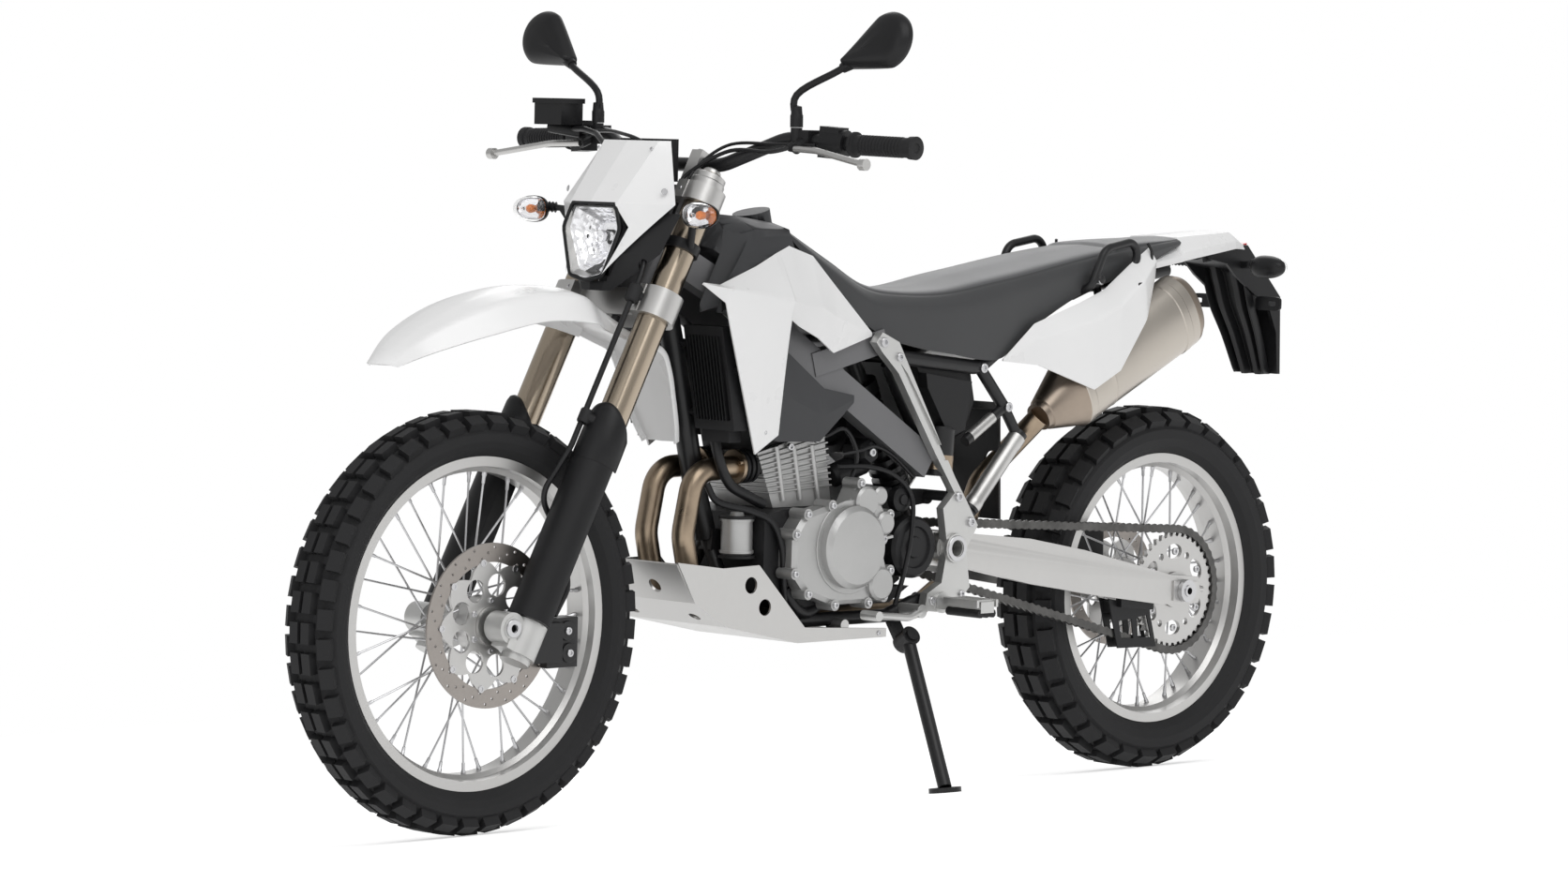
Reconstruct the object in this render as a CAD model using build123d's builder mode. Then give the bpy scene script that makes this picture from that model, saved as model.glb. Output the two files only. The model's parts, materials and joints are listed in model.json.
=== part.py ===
from build123d import *
from math import acos, cos, pi, radians, sin, tan
import os

# A dual sport motorcycle, modelled upright: x forward, y to its left, z up, with z = 0 at the
# road line of the upright tyres and x = 0 midway between the axles. The last section leans
# every finished piece onto the side stand. Millimetres and degrees.

# ------------------------------------------------------------------ driving dimensions
WHEELBASE = 1525
LEAN = 8                  # lean to the left on the side stand
RAKE = 27.8               # steering axis back from upright
AXLE_LEAD = 59            # front axle ahead of the steering axis
CLAMP_OFFSET = 20         # fork legs ahead of the steering axis
FORK_Y = 97               # half the distance between the fork legs
FIT = 0.3                 # running gap between pieces that seat on each other

FRONT_TYRE_R = 321        # to the lug tips
FRONT_TYRE_HALF = 51
FRONT_RIM_R = 253.5
FRONT_RIM_HALF = 32
REAR_TYRE_R = 308
REAR_TYRE_HALF = 62
REAR_RIM_R = 229.8
REAR_RIM_HALF = 41
RIM_DEPTH = 24            # flange edge to the well
RIM_WALL = 4
LUG_HIGH = 11              # tread blocks above the carcass
SPOKES = 36
SPOKE_R = 2
AXLE_R = 10
AXLE_BORE_R = 6

FRONT_DISC_R = 125
FRONT_DISC_Y = 58
REAR_DISC_R = 105
REAR_DISC_Y = -62
DISC_THICK = 4

SPROCKET_Y = 77
SPROCKET_R = 103          # pitch radius of the rear sprocket
FRONT_SPROCKET_R = 36
TOOTH_THICK = 7
DRIVE_X = -100            # front sprocket's centre
DRIVE_Z = 412
CHAIN_WIDE = 14
CHAIN_HIGH = 15
CHAIN_PITCH = 15.875
HUB_SEAT_R = 30             # where discs and sprocket sit on their hubs

PIVOT_X = -178            # swingarm pivot
PIVOT_Z = 405
PLATE_Y = 106             # inner face of the cast side plates
PLATE_THICK = 16
ARM_IN_Y = 88             # inner face of a swingarm leg
ARM_OUT_Y = 104

TUBE_R = 24.5             # upper fork tube
GUARD_R = 37
STEM_R = 16
PIVOT_BORE_R = 13
HEAD_R = 31

# ------------------------------------------------------------------ places worked out
FRONT_AXLE = Vector(WHEELBASE / 2, 0, FRONT_TYRE_R)
REAR_AXLE = Vector(-WHEELBASE / 2, 0, REAR_TYRE_R)
AHEAD = Vector(cos(radians(RAKE)), 0, sin(radians(RAKE)))    # square to the steering axis
UPFORK = Vector(-sin(radians(RAKE)), 0, cos(radians(RAKE)))  # up the steering axis
STEER = FRONT_AXLE - AHEAD * AXLE_LEAD                       # foot of the steering axis

pieces = {}


def keep(name, built):
    """Put a finished piece on the list that the last section leans and writes."""
    pieces[name] = built.part


def fork(ahead, across, up):
    """A point in the fork's own directions: square to, across and up the steering axis."""
    return STEER + AHEAD * ahead + Vector(0, across, 0) + UPFORK * up


def fork_plane(ahead, across, up):
    """A plane square to the steering axis, its x ahead and its y to the left."""
    return Plane(origin=fork(ahead, across, up), x_dir=AHEAD, z_dir=UPFORK)


def turned(outline, centre):
    """A ring about a wheel's axis from a closed outline of (radius, across) points."""
    with BuildPart() as ring:
        with BuildSketch(Plane(origin=centre)):
            with BuildLine():
                Polyline(*outline, close=True)
            make_face()
        revolve(axis=Axis(centre, (0, 1, 0)))
    return ring


def slab(outline, inner, outer, both_sides=False):
    """A flat plate with an (x, z) outline, from the inner to the outer width."""
    with BuildPart() as plate:
        with BuildSketch(Plane.XZ.offset(-inner)):
            with BuildLine():
                Polyline(*outline, close=True)
            make_face()
        extrude(amount=inner - outer)
        if both_sides:
            mirror(about=Plane.XZ)
    return plate


def across(centre, radius, inner, outer, bore=0):
    """A round bar, or a tube with a bore, that lies across the motorcycle."""
    with BuildPart() as bar:
        with BuildSketch(Plane(origin=(centre[0], inner, centre[1]), x_dir=(1, 0, 0), z_dir=(0, 1, 0))):
            Circle(radius)
            if bore:
                Circle(bore, mode=Mode.SUBTRACT)
        extrude(amount=outer - inner)
    return bar


def rod(start, end, radius, bore=0):
    """A straight round rod, or a tube with a bore, between two points."""
    run = Vector(*end) - Vector(*start)
    with BuildPart() as bar:
        with BuildSketch(Plane(origin=start, z_dir=run)):
            Circle(radius)
            if bore:
                Circle(bore, mode=Mode.SUBTRACT)
        extrude(amount=run.length)
    return bar


def beam(start, end, wide, high):
    """A straight box section between two points, its width level and across the run."""
    run = Vector(*end) - Vector(*start)
    level = Vector(0, 0, 1).cross(run)
    with BuildPart() as bar:
        with BuildSketch(Plane(origin=start, x_dir=level, z_dir=run)):
            Rectangle(wide, high)
        extrude(amount=run.length)
    return bar


def station_panel(stations, wall):
    """A thin creased panel on the left: x, then its outer (across, height) points top to bottom."""
    with BuildPart() as panel:
        for x, *points in stations:
            inner = [(y - wall, z) for y, z in points]
            with BuildSketch(Plane(origin=(x, 0, 0), x_dir=(0, 1, 0), z_dir=(1, 0, 0))):
                with BuildLine():
                    Polyline(*points, *inner[::-1], close=True)
                make_face()
        loft(ruled=True)
    return panel


def station_body(stations):
    """A solid, alike on both sides: x, then its left half's (across, height) points, top first."""
    with BuildPart() as body:
        for x, *points in stations:
            right = [(-y, z) for y, z in points if y > 0]
            with BuildSketch(Plane(origin=(x, 0, 0), x_dir=(0, 1, 0), z_dir=(1, 0, 0))):
                with BuildLine():
                    Polyline(*points, *right[::-1], close=True)
                make_face()
        loft(ruled=True)
    return body


def bent_tube(route, radius, bends, bore=0):
    """A tube of straight runs joined by tangent arcs."""
    with BuildPart() as pipe:
        with BuildLine() as path:
            FilletPolyline(*route, radius=bends)
        with BuildSketch(Plane(origin=path.line @ 0, z_dir=path.line % 0)):
            Circle(radius)
            if bore:
                Circle(bore, mode=Mode.SUBTRACT)
        sweep()
    return pipe


def joined(*built, less=(), both_sides=False):
    """Several shapes fused into one piece, less the shapes that pass through it."""
    with BuildPart() as whole:
        for shape in built:
            add(shape.part)
        if both_sides:
            mirror(about=Plane.XZ)
        for shape in less:
            add(shape.part, mode=Mode.SUBTRACT)
    return whole


# ------------------------------------------------------------------ wheels
def tyre_outline(carcass_r, half, rim_r, rim_half):
    """Half of a tyre's section as (radius, across), from the crown's middle to the bead."""
    seat = rim_r - RIM_WALL - 6
    return [
        (carcass_r, half * 0.34),
        (carcass_r - half * 0.16, half * 0.72),
        (carcass_r - half * 0.42, half * 0.93),
        (carcass_r - half * 0.66, half * 0.93),
        (rim_r + 12, half * 0.84),
        (rim_r + 1, rim_half),
        (rim_r + 1, rim_half - RIM_WALL - 1),
        (seat, rim_half - RIM_WALL - 1),
        (seat, 0),
    ]


def tread_block(centre, row_y, tilt, turn, root_r, size):
    """One tread block: a box that stands on the carcass at a turn round the wheel."""
    along, wide, high = size
    out = Vector(cos(turn) * cos(tilt), sin(tilt), sin(turn) * cos(tilt))
    foot = centre + Vector(root_r * cos(turn), row_y, root_r * sin(turn))
    round_wheel = Vector(-sin(turn), 0, cos(turn))
    with BuildPart() as block:
        with BuildSketch(Plane(origin=foot, x_dir=round_wheel, z_dir=out)):
            Rectangle(along, wide)
        extrude(amount=high)
    return block.part


def knobbly_tyre(centre, tip_r, half, rim_r, rim_half, pitches):
    """The carcass with a pair of crown blocks and a pair of shoulder blocks in each pitch."""
    crown_r = tip_r - LUG_HIGH
    # row's place across, its tilt, its root radius, phase, (along, wide, high)
    rows = [
        (half * 0.25, 0, crown_r - 8, 0, (half * 0.62, half * 0.36, LUG_HIGH + 8)),
        (half * 0.66, 0.55, crown_r - half * 0.30, 0.5, (half * 0.60, half * 0.42, LUG_HIGH + 7)),
    ]
    blocks = []
    for row_y, tilt, root_r, phase, size in rows:
        for n in range(pitches):
            turn = 2 * pi * (n + phase) / pitches
            blocks.append(tread_block(centre, row_y, tilt, turn, root_r, size))
            blocks.append(tread_block(centre, -row_y, -tilt, turn, root_r, size))
    carcass = turned(both_halves(tyre_outline(crown_r, half, rim_r, rim_half)), centre)
    with BuildPart() as tyre:
        add(carcass.part)
        add(blocks)
    return tyre


def both_halves(half_outline):
    """A section's outline closed by its own mirror image."""
    left = [(r, -w) for r, w in half_outline if w > 0]
    return list(half_outline) + left[::-1]


def rim_outline(rim_r, half):
    """A rim's half section: flange, bead seat and well, as (radius, across)."""
    seat = rim_r - RIM_WALL - 7
    well = rim_r - RIM_DEPTH + RIM_WALL
    return [
        (well, 0),
        (well, half * 0.36),
        (seat, half * 0.5),
        (seat, half - RIM_WALL),
        (rim_r, half - RIM_WALL),
        (rim_r, half),
        (seat - RIM_WALL, half),
        (seat - RIM_WALL - 2, half * 0.62),
        (well - RIM_WALL, half * 0.44),
        (well - RIM_WALL, 0),
    ]


def laced_hub(centre, rim_r, barrel, flanges, hole_r, reach):
    """A hub's barrel and flanges with its spokes laced out to the rim."""
    well = rim_r - RIM_DEPTH - 3 * FIT
    spokes = []
    with BuildPart() as hub:
        for side, flange_y in enumerate(flanges):
            for n in range(SPOKES // 2):
                # neighbouring spokes of a flange lean opposite ways round the hub
                turn = 1 if n % 2 else -1
                root = 2 * pi * (n + side / 2) / (SPOKES // 2)
                tip = root + turn * reach
                start = centre + Vector(hole_r * cos(root), flange_y, hole_r * sin(root))
                inward = 5 if flange_y > 0 else -5
                end = centre + Vector(well * cos(tip), inward, well * sin(tip))
                spokes.append(rod(start, end, SPOKE_R).part)
        add(barrel.part)
        add(spokes)
        add(across((centre.X, centre.Z), AXLE_R + FIT, -150, 150).part, mode=Mode.SUBTRACT)
    return hub


def toothed_outline(teeth, tip_r, depth):
    """A sprocket's outline: each tooth has a flat tip, two flanks and a root."""
    points = []
    for n in range(teeth):
        for share, radius in ((0.0, tip_r), (0.22, tip_r), (0.42, tip_r - depth), (0.80, tip_r - depth)):
            turn = 2 * pi * (n + share) / teeth
            points.append((radius * cos(turn), radius * sin(turn)))
    return points


def disc(centre, outer_r, ring_r, hub_r, at_y, arms):
    """A brake disc: friction ring and the arms of its carrier."""
    with BuildPart() as plate:
        with BuildSketch(Plane(origin=centre + Vector(0, at_y - DISC_THICK / 2, 0), z_dir=(0, 1, 0))):
            Circle(outer_r)
            Circle(ring_r, mode=Mode.SUBTRACT)
            with PolarLocations((ring_r + hub_r) / 2, arms):
                Rectangle(ring_r - hub_r + 12, 16)
            Circle(hub_r + 8)
            Circle(hub_r, mode=Mode.SUBTRACT)
        extrude(amount=DISC_THICK)
    return plate


keep("front_tyre", knobbly_tyre(
    FRONT_AXLE, FRONT_TYRE_R, FRONT_TYRE_HALF, FRONT_RIM_R, FRONT_RIM_HALF, 44))
keep("front_rim", turned(both_halves(rim_outline(FRONT_RIM_R, FRONT_RIM_HALF)), FRONT_AXLE))
front_barrel = turned(
    [(0, -48), (26, -48), (28, -36), (40, -34), (40, -28), (24, -22), (24, 22),
     (44, 28), (44, 34), (46, 48), (46, FRONT_DISC_Y - DISC_THICK / 2), (30, FRONT_DISC_Y - DISC_THICK / 2),
     (30, FRONT_DISC_Y + 8), (0, FRONT_DISC_Y + 8)], FRONT_AXLE)
keep("front_hub", laced_hub(FRONT_AXLE, FRONT_RIM_R, front_barrel, (-31, 31), 36, 0.9))
keep("front_disc", disc(FRONT_AXLE, FRONT_DISC_R, 98, 30 + FIT, FRONT_DISC_Y, 10))

keep("rear_tyre", knobbly_tyre(
    REAR_AXLE, REAR_TYRE_R, REAR_TYRE_HALF, REAR_RIM_R, REAR_RIM_HALF, 36))
keep("rear_rim", turned(both_halves(rim_outline(REAR_RIM_R, REAR_RIM_HALF)), REAR_AXLE))
rear_barrel = turned(
    [(0, -72), (30, -72), (30, REAR_DISC_Y + DISC_THICK / 2), (42, REAR_DISC_Y + DISC_THICK / 2),
     (44, -48), (46, -40), (46, -34), (28, -28), (28, 28), (46, 34), (46, 40), (44, 50),
     (44, SPROCKET_Y - 4), (30, SPROCKET_Y - 4), (30, SPROCKET_Y + 8), (0, SPROCKET_Y + 8)], REAR_AXLE)
keep("rear_hub", laced_hub(REAR_AXLE, REAR_RIM_R, rear_barrel, (-37, 37), 39, 0.9))
keep("rear_disc", disc(REAR_AXLE, REAR_DISC_R, 80, 30 + FIT, REAR_DISC_Y, 6))

with BuildPart() as rear_sprocket:
    teeth = round(2 * pi * SPROCKET_R / CHAIN_PITCH)
    tooth_tip = SPROCKET_R - CHAIN_HIGH * 0.27 - 1
    with BuildSketch(Plane(origin=REAR_AXLE + Vector(0, SPROCKET_Y - TOOTH_THICK / 2, 0), z_dir=(0, 1, 0))):
        with BuildLine():
            Polyline(*toothed_outline(teeth, tooth_tip, 7), close=True)
        make_face()
        Circle(HUB_SEAT_R + FIT, mode=Mode.SUBTRACT)
        with PolarLocations(65, 6):
            Ellipse(13, 19, mode=Mode.SUBTRACT)
        with PolarLocations(65, 6, start_angle=30):
            Circle(6, mode=Mode.SUBTRACT)
    extrude(amount=TOOTH_THICK)
keep("rear_sprocket", rear_sprocket)

# ------------------------------------------------------------------ axles
keep("front_axle", across((FRONT_AXLE.X, FRONT_AXLE.Z), AXLE_R, -FORK_Y - 16, FORK_Y + 16, AXLE_BORE_R))
keep("rear_axle", joined(
    across((REAR_AXLE.X, REAR_AXLE.Z), AXLE_R, -ARM_OUT_Y - 14, ARM_OUT_Y + 14, AXLE_BORE_R),
    across((REAR_AXLE.X, REAR_AXLE.Z), 19, ARM_OUT_Y + FIT, ARM_OUT_Y + 12, AXLE_R - 1),
    across((REAR_AXLE.X, REAR_AXLE.Z), 19, -ARM_OUT_Y - 12, -ARM_OUT_Y - FIT, AXLE_R - 1)))

# ------------------------------------------------------------------ fork
GUARD_LOW, GUARD_HIGH = 26, 335
TUBE_TOP = 782
LOWER_CLAMP_UP, UPPER_CLAMP_UP = 561, 750
CLAMP_HIGH = 46
UPPER_HIGH = 30
CLAMP_WALL = 9
HEAD_LOW = LOWER_CLAMP_UP + CLAMP_HIGH / 2 + FIT
HEAD_HIGH = UPPER_CLAMP_UP - UPPER_HIGH / 2 - FIT


def leg(radius, low, high, bore=0):
    """A left fork leg's round section between two heights."""
    return rod(fork(CLAMP_OFFSET, FORK_Y, low), fork(CLAMP_OFFSET, FORK_Y, high), radius, bore)


keep("fork_tubes", joined(
    leg(TUBE_R, GUARD_HIGH - 10, TUBE_TOP), leg(TUBE_R - 6, TUBE_TOP, TUBE_TOP + 8), both_sides=True))
axle_eye = across((FRONT_AXLE.X, FRONT_AXLE.Z), 24, FORK_Y - 24, FORK_Y + 14)
axle_collar = across((FRONT_AXLE.X, FRONT_AXLE.Z), 17, FORK_Y + 13, FORK_Y + 15.5)
lug_web = beam(fork(CLAMP_OFFSET - 14, FORK_Y - 4, 0), fork(AXLE_LEAD, FORK_Y - 4, 0), 34, 42)
pinch_lug = beam(fork(AXLE_LEAD - 12, FORK_Y - 2, -30), fork(AXLE_LEAD - 12, FORK_Y - 2, -12), 36, 22)
axle_hole = across((FRONT_AXLE.X, FRONT_AXLE.Z), AXLE_R + FIT, -150, 150)
LUG_R = 28
lower_leg = leg(LUG_R, -30, GUARD_LOW - FIT)
keep("fork_lugs", joined(
    lower_leg, leg(LUG_R - 5, -40, -29), leg(TUBE_R - 0.5, GUARD_LOW - FIT, GUARD_HIGH - 10 - FIT),
    axle_eye, axle_collar, lug_web, pinch_lug, both_sides=True, less=[axle_hole]))
with BuildPart() as fork_guards:
    with BuildSketch(fork_plane(CLAMP_OFFSET, FORK_Y, GUARD_LOW)):
        Circle(GUARD_R)
        with Locations((-GUARD_R, 0)):
            Rectangle(2 * GUARD_R - 20, 2 * GUARD_R, mode=Mode.SUBTRACT)
        with Locations((0, -GUARD_R)):
            Rectangle(2 * GUARD_R, 2 * GUARD_R - 62, mode=Mode.SUBTRACT)
        Circle(TUBE_R + FIT, mode=Mode.SUBTRACT)
    extrude(amount=GUARD_HIGH - GUARD_LOW)
    # the upper edge slopes down towards the front
    with BuildSketch(Plane(origin=fork(CLAMP_OFFSET, FORK_Y, GUARD_HIGH - 12),
                           x_dir=Vector(0, 1, 0), z_dir=UPFORK + AHEAD * 0.6)):
        Rectangle(4 * GUARD_R, 4 * GUARD_R)
    extrude(amount=60, mode=Mode.SUBTRACT)
    mirror(about=Plane.XZ)
keep("fork_guards", fork_guards)


def clamp(up, high, half_long):
    """A fork clamp: a ring round each leg, joined by a bridge across the steering axis."""
    with BuildPart() as bridge:
        with BuildSketch(fork_plane(CLAMP_OFFSET, 0, up - high / 2)):
            with Locations((0, FORK_Y), (0, -FORK_Y)):
                Circle(TUBE_R + CLAMP_WALL)
            with Locations((-8, 0)):
                Rectangle(half_long * 2, 2 * FORK_Y)
            with Locations((0, FORK_Y), (0, -FORK_Y)):
                Circle(TUBE_R + FIT, mode=Mode.SUBTRACT)
        extrude(amount=high)
    return bridge


def clamp_lug(up, high):
    """The split and bolt lug on a clamp ring's outer front."""
    return beam(fork(CLAMP_OFFSET + TUBE_R + 3, FORK_Y - 16, up - high / 2),
                fork(CLAMP_OFFSET + TUBE_R + 3, FORK_Y - 16, up + high / 2), 22, 14)


stem = rod(fork(0, 0, LOWER_CLAMP_UP), fork(0, 0, UPPER_CLAMP_UP - UPPER_HIGH / 2 - FIT), STEM_R)
lug_low = clamp_lug(LOWER_CLAMP_UP, CLAMP_HIGH)
lug_high = clamp_lug(UPPER_CLAMP_UP, UPPER_HIGH)
both_tubes = joined(leg(TUBE_R + FIT, GUARD_HIGH, TUBE_TOP + 20), both_sides=True)
keep("lower_clamp", joined(
    joined(clamp(LOWER_CLAMP_UP, CLAMP_HIGH, 24), stem), joined(lug_low, both_sides=True), less=[both_tubes]))

BAR_R = 11
BAR_MID = fork(4, 0, UPPER_CLAMP_UP + 66)
risers = [beam(fork(4, y, UPPER_CLAMP_UP + UPPER_HIGH / 2 - 1), fork(4, y, UPPER_CLAMP_UP + 84), 24, 34)
          for y in (-45, 45)]
bar_hole = across((BAR_MID.X, BAR_MID.Z), BAR_R + FIT, -150, 150)
keep("upper_clamp", joined(
    clamp(UPPER_CLAMP_UP, UPPER_HIGH, 22), joined(lug_high, both_sides=True), *risers,
    less=[bar_hole, both_tubes]))

# the room that the fork legs and clamps sweep between the steering's two locks
LOCK_R = FORK_Y + TUBE_R + CLAMP_WALL + 7
with BuildPart() as lock_sweep:
    with BuildSketch(fork_plane(0, 0, LOWER_CLAMP_UP - 30)):
        Circle(LOCK_R)
        with BuildLine():
            Polyline((12, 0), (-2 * LOCK_R, 1.6 * LOCK_R), (-2 * LOCK_R, -1.6 * LOCK_R), close=True)
        make_face(mode=Mode.SUBTRACT)
    extrude(amount=330)

# ------------------------------------------------------------------ handlebar and controls
GRIP_END = Vector(263, 439, 1051)
GRIP_IN = Vector(272, 316, 1054)
BAR_TURN = Vector(300, 205, 1062)
route = [(BAR_MID.X, 0, BAR_MID.Z), (BAR_MID.X, 95, BAR_MID.Z), BAR_TURN, GRIP_IN, GRIP_END]
half_bar = bent_tube(route, BAR_R, [60, 80, 120])
with BuildPart() as mirrored_bar:
    add(half_bar.part)
    mirror(about=Plane.XZ, mode=Mode.REPLACE)
keep("handlebar", joined(half_bar, both_sides=True))
grip_run = GRIP_END - GRIP_IN
grip = rod(GRIP_IN + grip_run * 0.02, GRIP_END + grip_run * 0.04, 16)
grip_flange = rod(GRIP_IN + grip_run * 0.02, GRIP_IN + grip_run * 0.07, 20)
grip_cap = rod(GRIP_END - grip_run * 0.06, GRIP_END + grip_run * 0.04, 18)
keep("grips", joined(grip, grip_flange, grip_cap, both_sides=True, less=[half_bar, mirrored_bar]))

SWITCH_MID = BAR_TURN + (GRIP_IN - BAR_TURN) * 0.74
PERCH_MID = BAR_TURN + (GRIP_IN - BAR_TURN) * 0.30
LEVER_ROOT = PERCH_MID + Vector(32, 6, -14)
LEVER_TIP = Vector(353, 421, 1025)
MIRROR_FOOT = Vector(303, 225, 1078)
bar_run = (GRIP_IN - BAR_TURN).normalized()
switch = rod(SWITCH_MID - bar_run * 20, SWITCH_MID + bar_run * 20, 21)
switch_box = beam(SWITCH_MID - bar_run * 22, SWITCH_MID + bar_run * 12, 30, 48)
perch = beam(PERCH_MID - Vector(0, 16, 0), PERCH_MID + Vector(0, 16, 0), 30, 30)
arm = rod(PERCH_MID, LEVER_ROOT, 9)
perch_pot = rod(MIRROR_FOOT - Vector(0, 0, 22), MIRROR_FOOT, 9)
left_controls = joined(switch, switch_box, perch, arm, perch_pot, both_sides=True)
# the front brake's fluid reservoir stands on the right perch
POT_MID = Vector(342, -276, 1092)
pot = beam(POT_MID - Vector(0, 32, 0), POT_MID + Vector(0, 32, 0), 46, 36)
pot_lid = beam(POT_MID + Vector(0, -35, 20), POT_MID + Vector(0, 35, 20), 50, 8)
pot_body = rod(Vector(316, -248, 1064), Vector(338, -300, 1072), 11)
keep("hand_controls", joined(left_controls, pot, pot_lid, pot_body, less=[half_bar, mirrored_bar]))
lever = bent_tube([LEVER_ROOT, LEVER_ROOT + Vector(12, 58, -2), LEVER_TIP], 5, [60])
ball = rod(LEVER_TIP - Vector(0, 6, 0), LEVER_TIP + Vector(0, 6, 0), 9)
keep("levers", joined(joined(lever, ball, both_sides=True), less=[left_controls]))



def drop_outline(big, small):
    """A drop's outline: a large circle's far side and a small circle's near side."""
    turns = [radians(15 * n) for n in range(24)]
    return [(20 + big * cos(turn), big * sin(turn)) if cos(turn) > -0.3 else
            (small * cos(turn) - 62, small * sin(turn)) for turn in turns]


MIRROR_ELBOW = Vector(305, 226, 1132)
MIRROR_ROOT = Vector(290, 300, 1166)
MIRROR_MID = Vector(277, 372, 1205)
mirror_stem = bent_tube([MIRROR_FOOT + Vector(0, 0, 6), MIRROR_ELBOW, MIRROR_ROOT, MIRROR_MID], 6, [20, 20])
mirror_base = rod(MIRROR_FOOT + Vector(0, 0, FIT), MIRROR_FOOT + Vector(0, 0, 34), 10)
# a drop that points down its stem, its back rounded towards the front:
# (how far ahead of the glass, big circle's radius, small circle's radius)
MIRROR_SLICES = [(0, 45, 9), (10, 45, 9), (20, 37, 6), (26, 24, 3)]
with BuildPart() as mirror_head:
    for ahead_by, big, small in MIRROR_SLICES:
        glass = Plane(origin=MIRROR_MID - Vector(8, 0, 2), x_dir=(0, 1, 0.5), z_dir=(1, 0, 0.25))
        with BuildSketch(glass.offset(ahead_by)):
            with BuildLine():
                Polyline(*drop_outline(big, small), close=True)
            make_face()
    loft(ruled=True)
keep("mirrors", joined(mirror_stem, mirror_base, mirror_head, both_sides=True))

# the front brake's hose, from the caliper up the left leg and across to the fluid reservoir
HOSE_R = 4.5
hose_front = CLAMP_OFFSET + GUARD_R + 8
hose_route = [(642, 70, 331), fork(-48, 70, 112), fork(-26, 60.8, 160), fork(hose_front, 61, 215),
              fork(hose_front, 84, 300), fork(hose_front + 1, 86, 595), fork(60, 62, 668),
              (448, 0, 1008), (416, -74, 1036), (384, -140, 1062), (350, -205, 1068), (326, -262, 1068)]
hose_bends = [40, 40, 40, 60, 90, 70, 60, 50, 60, 50]
brake_hose = bent_tube(hose_route, HOSE_R, hose_bends)
hose_room = bent_tube(hose_route, HOSE_R + 3, hose_bends)
keep("brake_hose", joined(brake_hose, less=[left_controls, pot, pot_body]))

# ------------------------------------------------------------------ mask, lamp and indicators
MASK_WALL = 4
LENS_X = 517
LENS = [(-47, 955), (47, 955), (66, 920), (36, 844), (-36, 844), (-66, 920)]   # (across, height)


def mask_section(height, nose, front, front_half, edge, edge_half, wall):
    """A level slice of the mask: a ridged front between two swept-back cheeks."""
    with BuildSketch(Plane.XY.offset(height)) as slice_:
        with BuildLine():
            Polyline((nose, 0), (front, front_half), (edge, edge_half),
                     (edge - wall, edge_half - wall), (front - wall, front_half - wall),
                     (nose - wall, 0), (front - wall, wall - front_half), (edge - wall, wall - edge_half),
                     (edge, -edge_half), (front, -front_half), close=True)
        make_face()
    return slice_


# height, x of the middle ridge, front x, its half width, x of the rear edge, half width there
MASK_SLICES = [(846, 538, 534, 40, 500, 72), (956, 524, 516, 52, 462, 127), (1053, 446, 438, 62, 424, 74)]
COWL_SLICES = [(822, 520, 516, 22, 506, 34), (880, 516, 512, 44, 472, 106), (942, 500, 494, 54, 447, 124)]


def lens_prism(start, end, grow=0):
    """The lens's outline carried along x, grown by a margin."""
    with BuildPart() as prism:
        with BuildSketch(Plane(origin=(start, 0, 0), x_dir=(0, 1, 0), z_dir=(1, 0, 0))):
            with BuildLine():
                Polyline(*LENS, close=True)
            make_face()
            if grow:
                offset(amount=grow, kind=Kind.INTERSECTION)
        extrude(amount=end - start)
    return prism


def mask_loft(rows, wall):
    """A shell through level slices."""
    with BuildPart() as shell:
        for row in rows:
            add(mask_section(*row, wall).sketch)
        loft(ruled=True)
    return shell


mask_shell = mask_loft(MASK_SLICES, MASK_WALL)
keep("headlight_mask", joined(mask_shell, less=[lens_prism(400, 600, 3)]))
keep("headlight_lens", lens_prism(LENS_X - 4, LENS_X + 6))
with BuildPart() as lamp_body:
    with BuildSketch(Plane(origin=(LENS_X - 4 - FIT, 0, 0), x_dir=(0, 1, 0), z_dir=(1, 0, 0))):
        with BuildLine():
            Polyline(*LENS, close=True)
        make_face()
    with BuildSketch(Plane(origin=(462, 0, 0), x_dir=(0, 1, 0), z_dir=(1, 0, 0))):
        with Locations((0, 905)):
            Rectangle(90, 80)
    loft()
with BuildPart() as lamp_bowl:
    # the reflector's hollow: the lens outline drawn in towards its middle
    for x, share in ((LENS_X - 4, 0.90), (474, 0.42)):
        with BuildSketch(Plane(origin=(x, 0, 0), x_dir=(0, 1, 0), z_dir=(1, 0, 0))):
            with BuildLine():
                Polyline(*[(y * share, 905 + (z - 905) * share) for y, z in LENS], close=True)
            make_face()
    loft()
cowl = mask_loft(COWL_SLICES, MASK_WALL)
LAMP_UP = 655                                 # rubber bands that hold the lamp to the fork tubes
lamp_band = leg(TUBE_R + 4, LAMP_UP, LAMP_UP + 16, TUBE_R + FIT)
lamp_arm = rod(fork(CLAMP_OFFSET + TUBE_R + 2, FORK_Y - 12, LAMP_UP + 8), (474, 44, 892), 6)
stalk_arm = rod(fork(CLAMP_OFFSET + 6, FORK_Y + TUBE_R, LAMP_UP + 8), (444, 150, 944), 6)
lamp_front = lens_prism(LENS_X - 4 - FIT, 700, 8)
lamp_holder = joined(joined(lamp_body, less=[lamp_bowl]), cowl, joined(lamp_band, lamp_arm, both_sides=True),
                     less=[mask_shell, lamp_front, both_tubes, hose_room])
keep("lamp_housing", lamp_holder)

INDICATOR_MID = Vector(471, 194, 947)
stalk = rod(INDICATOR_MID - Vector(24, 50, 2), INDICATOR_MID - Vector(6, 24, 0), 7)
blinker = rod(INDICATOR_MID - Vector(8, 34, 0), INDICATOR_MID + Vector(8, 30, 0), 18)
keep("front_indicators", joined(
    joined(stalk_arm, stalk, blinker, both_sides=True), less=[joined(lamp_band, both_sides=True), both_tubes]))

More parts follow.
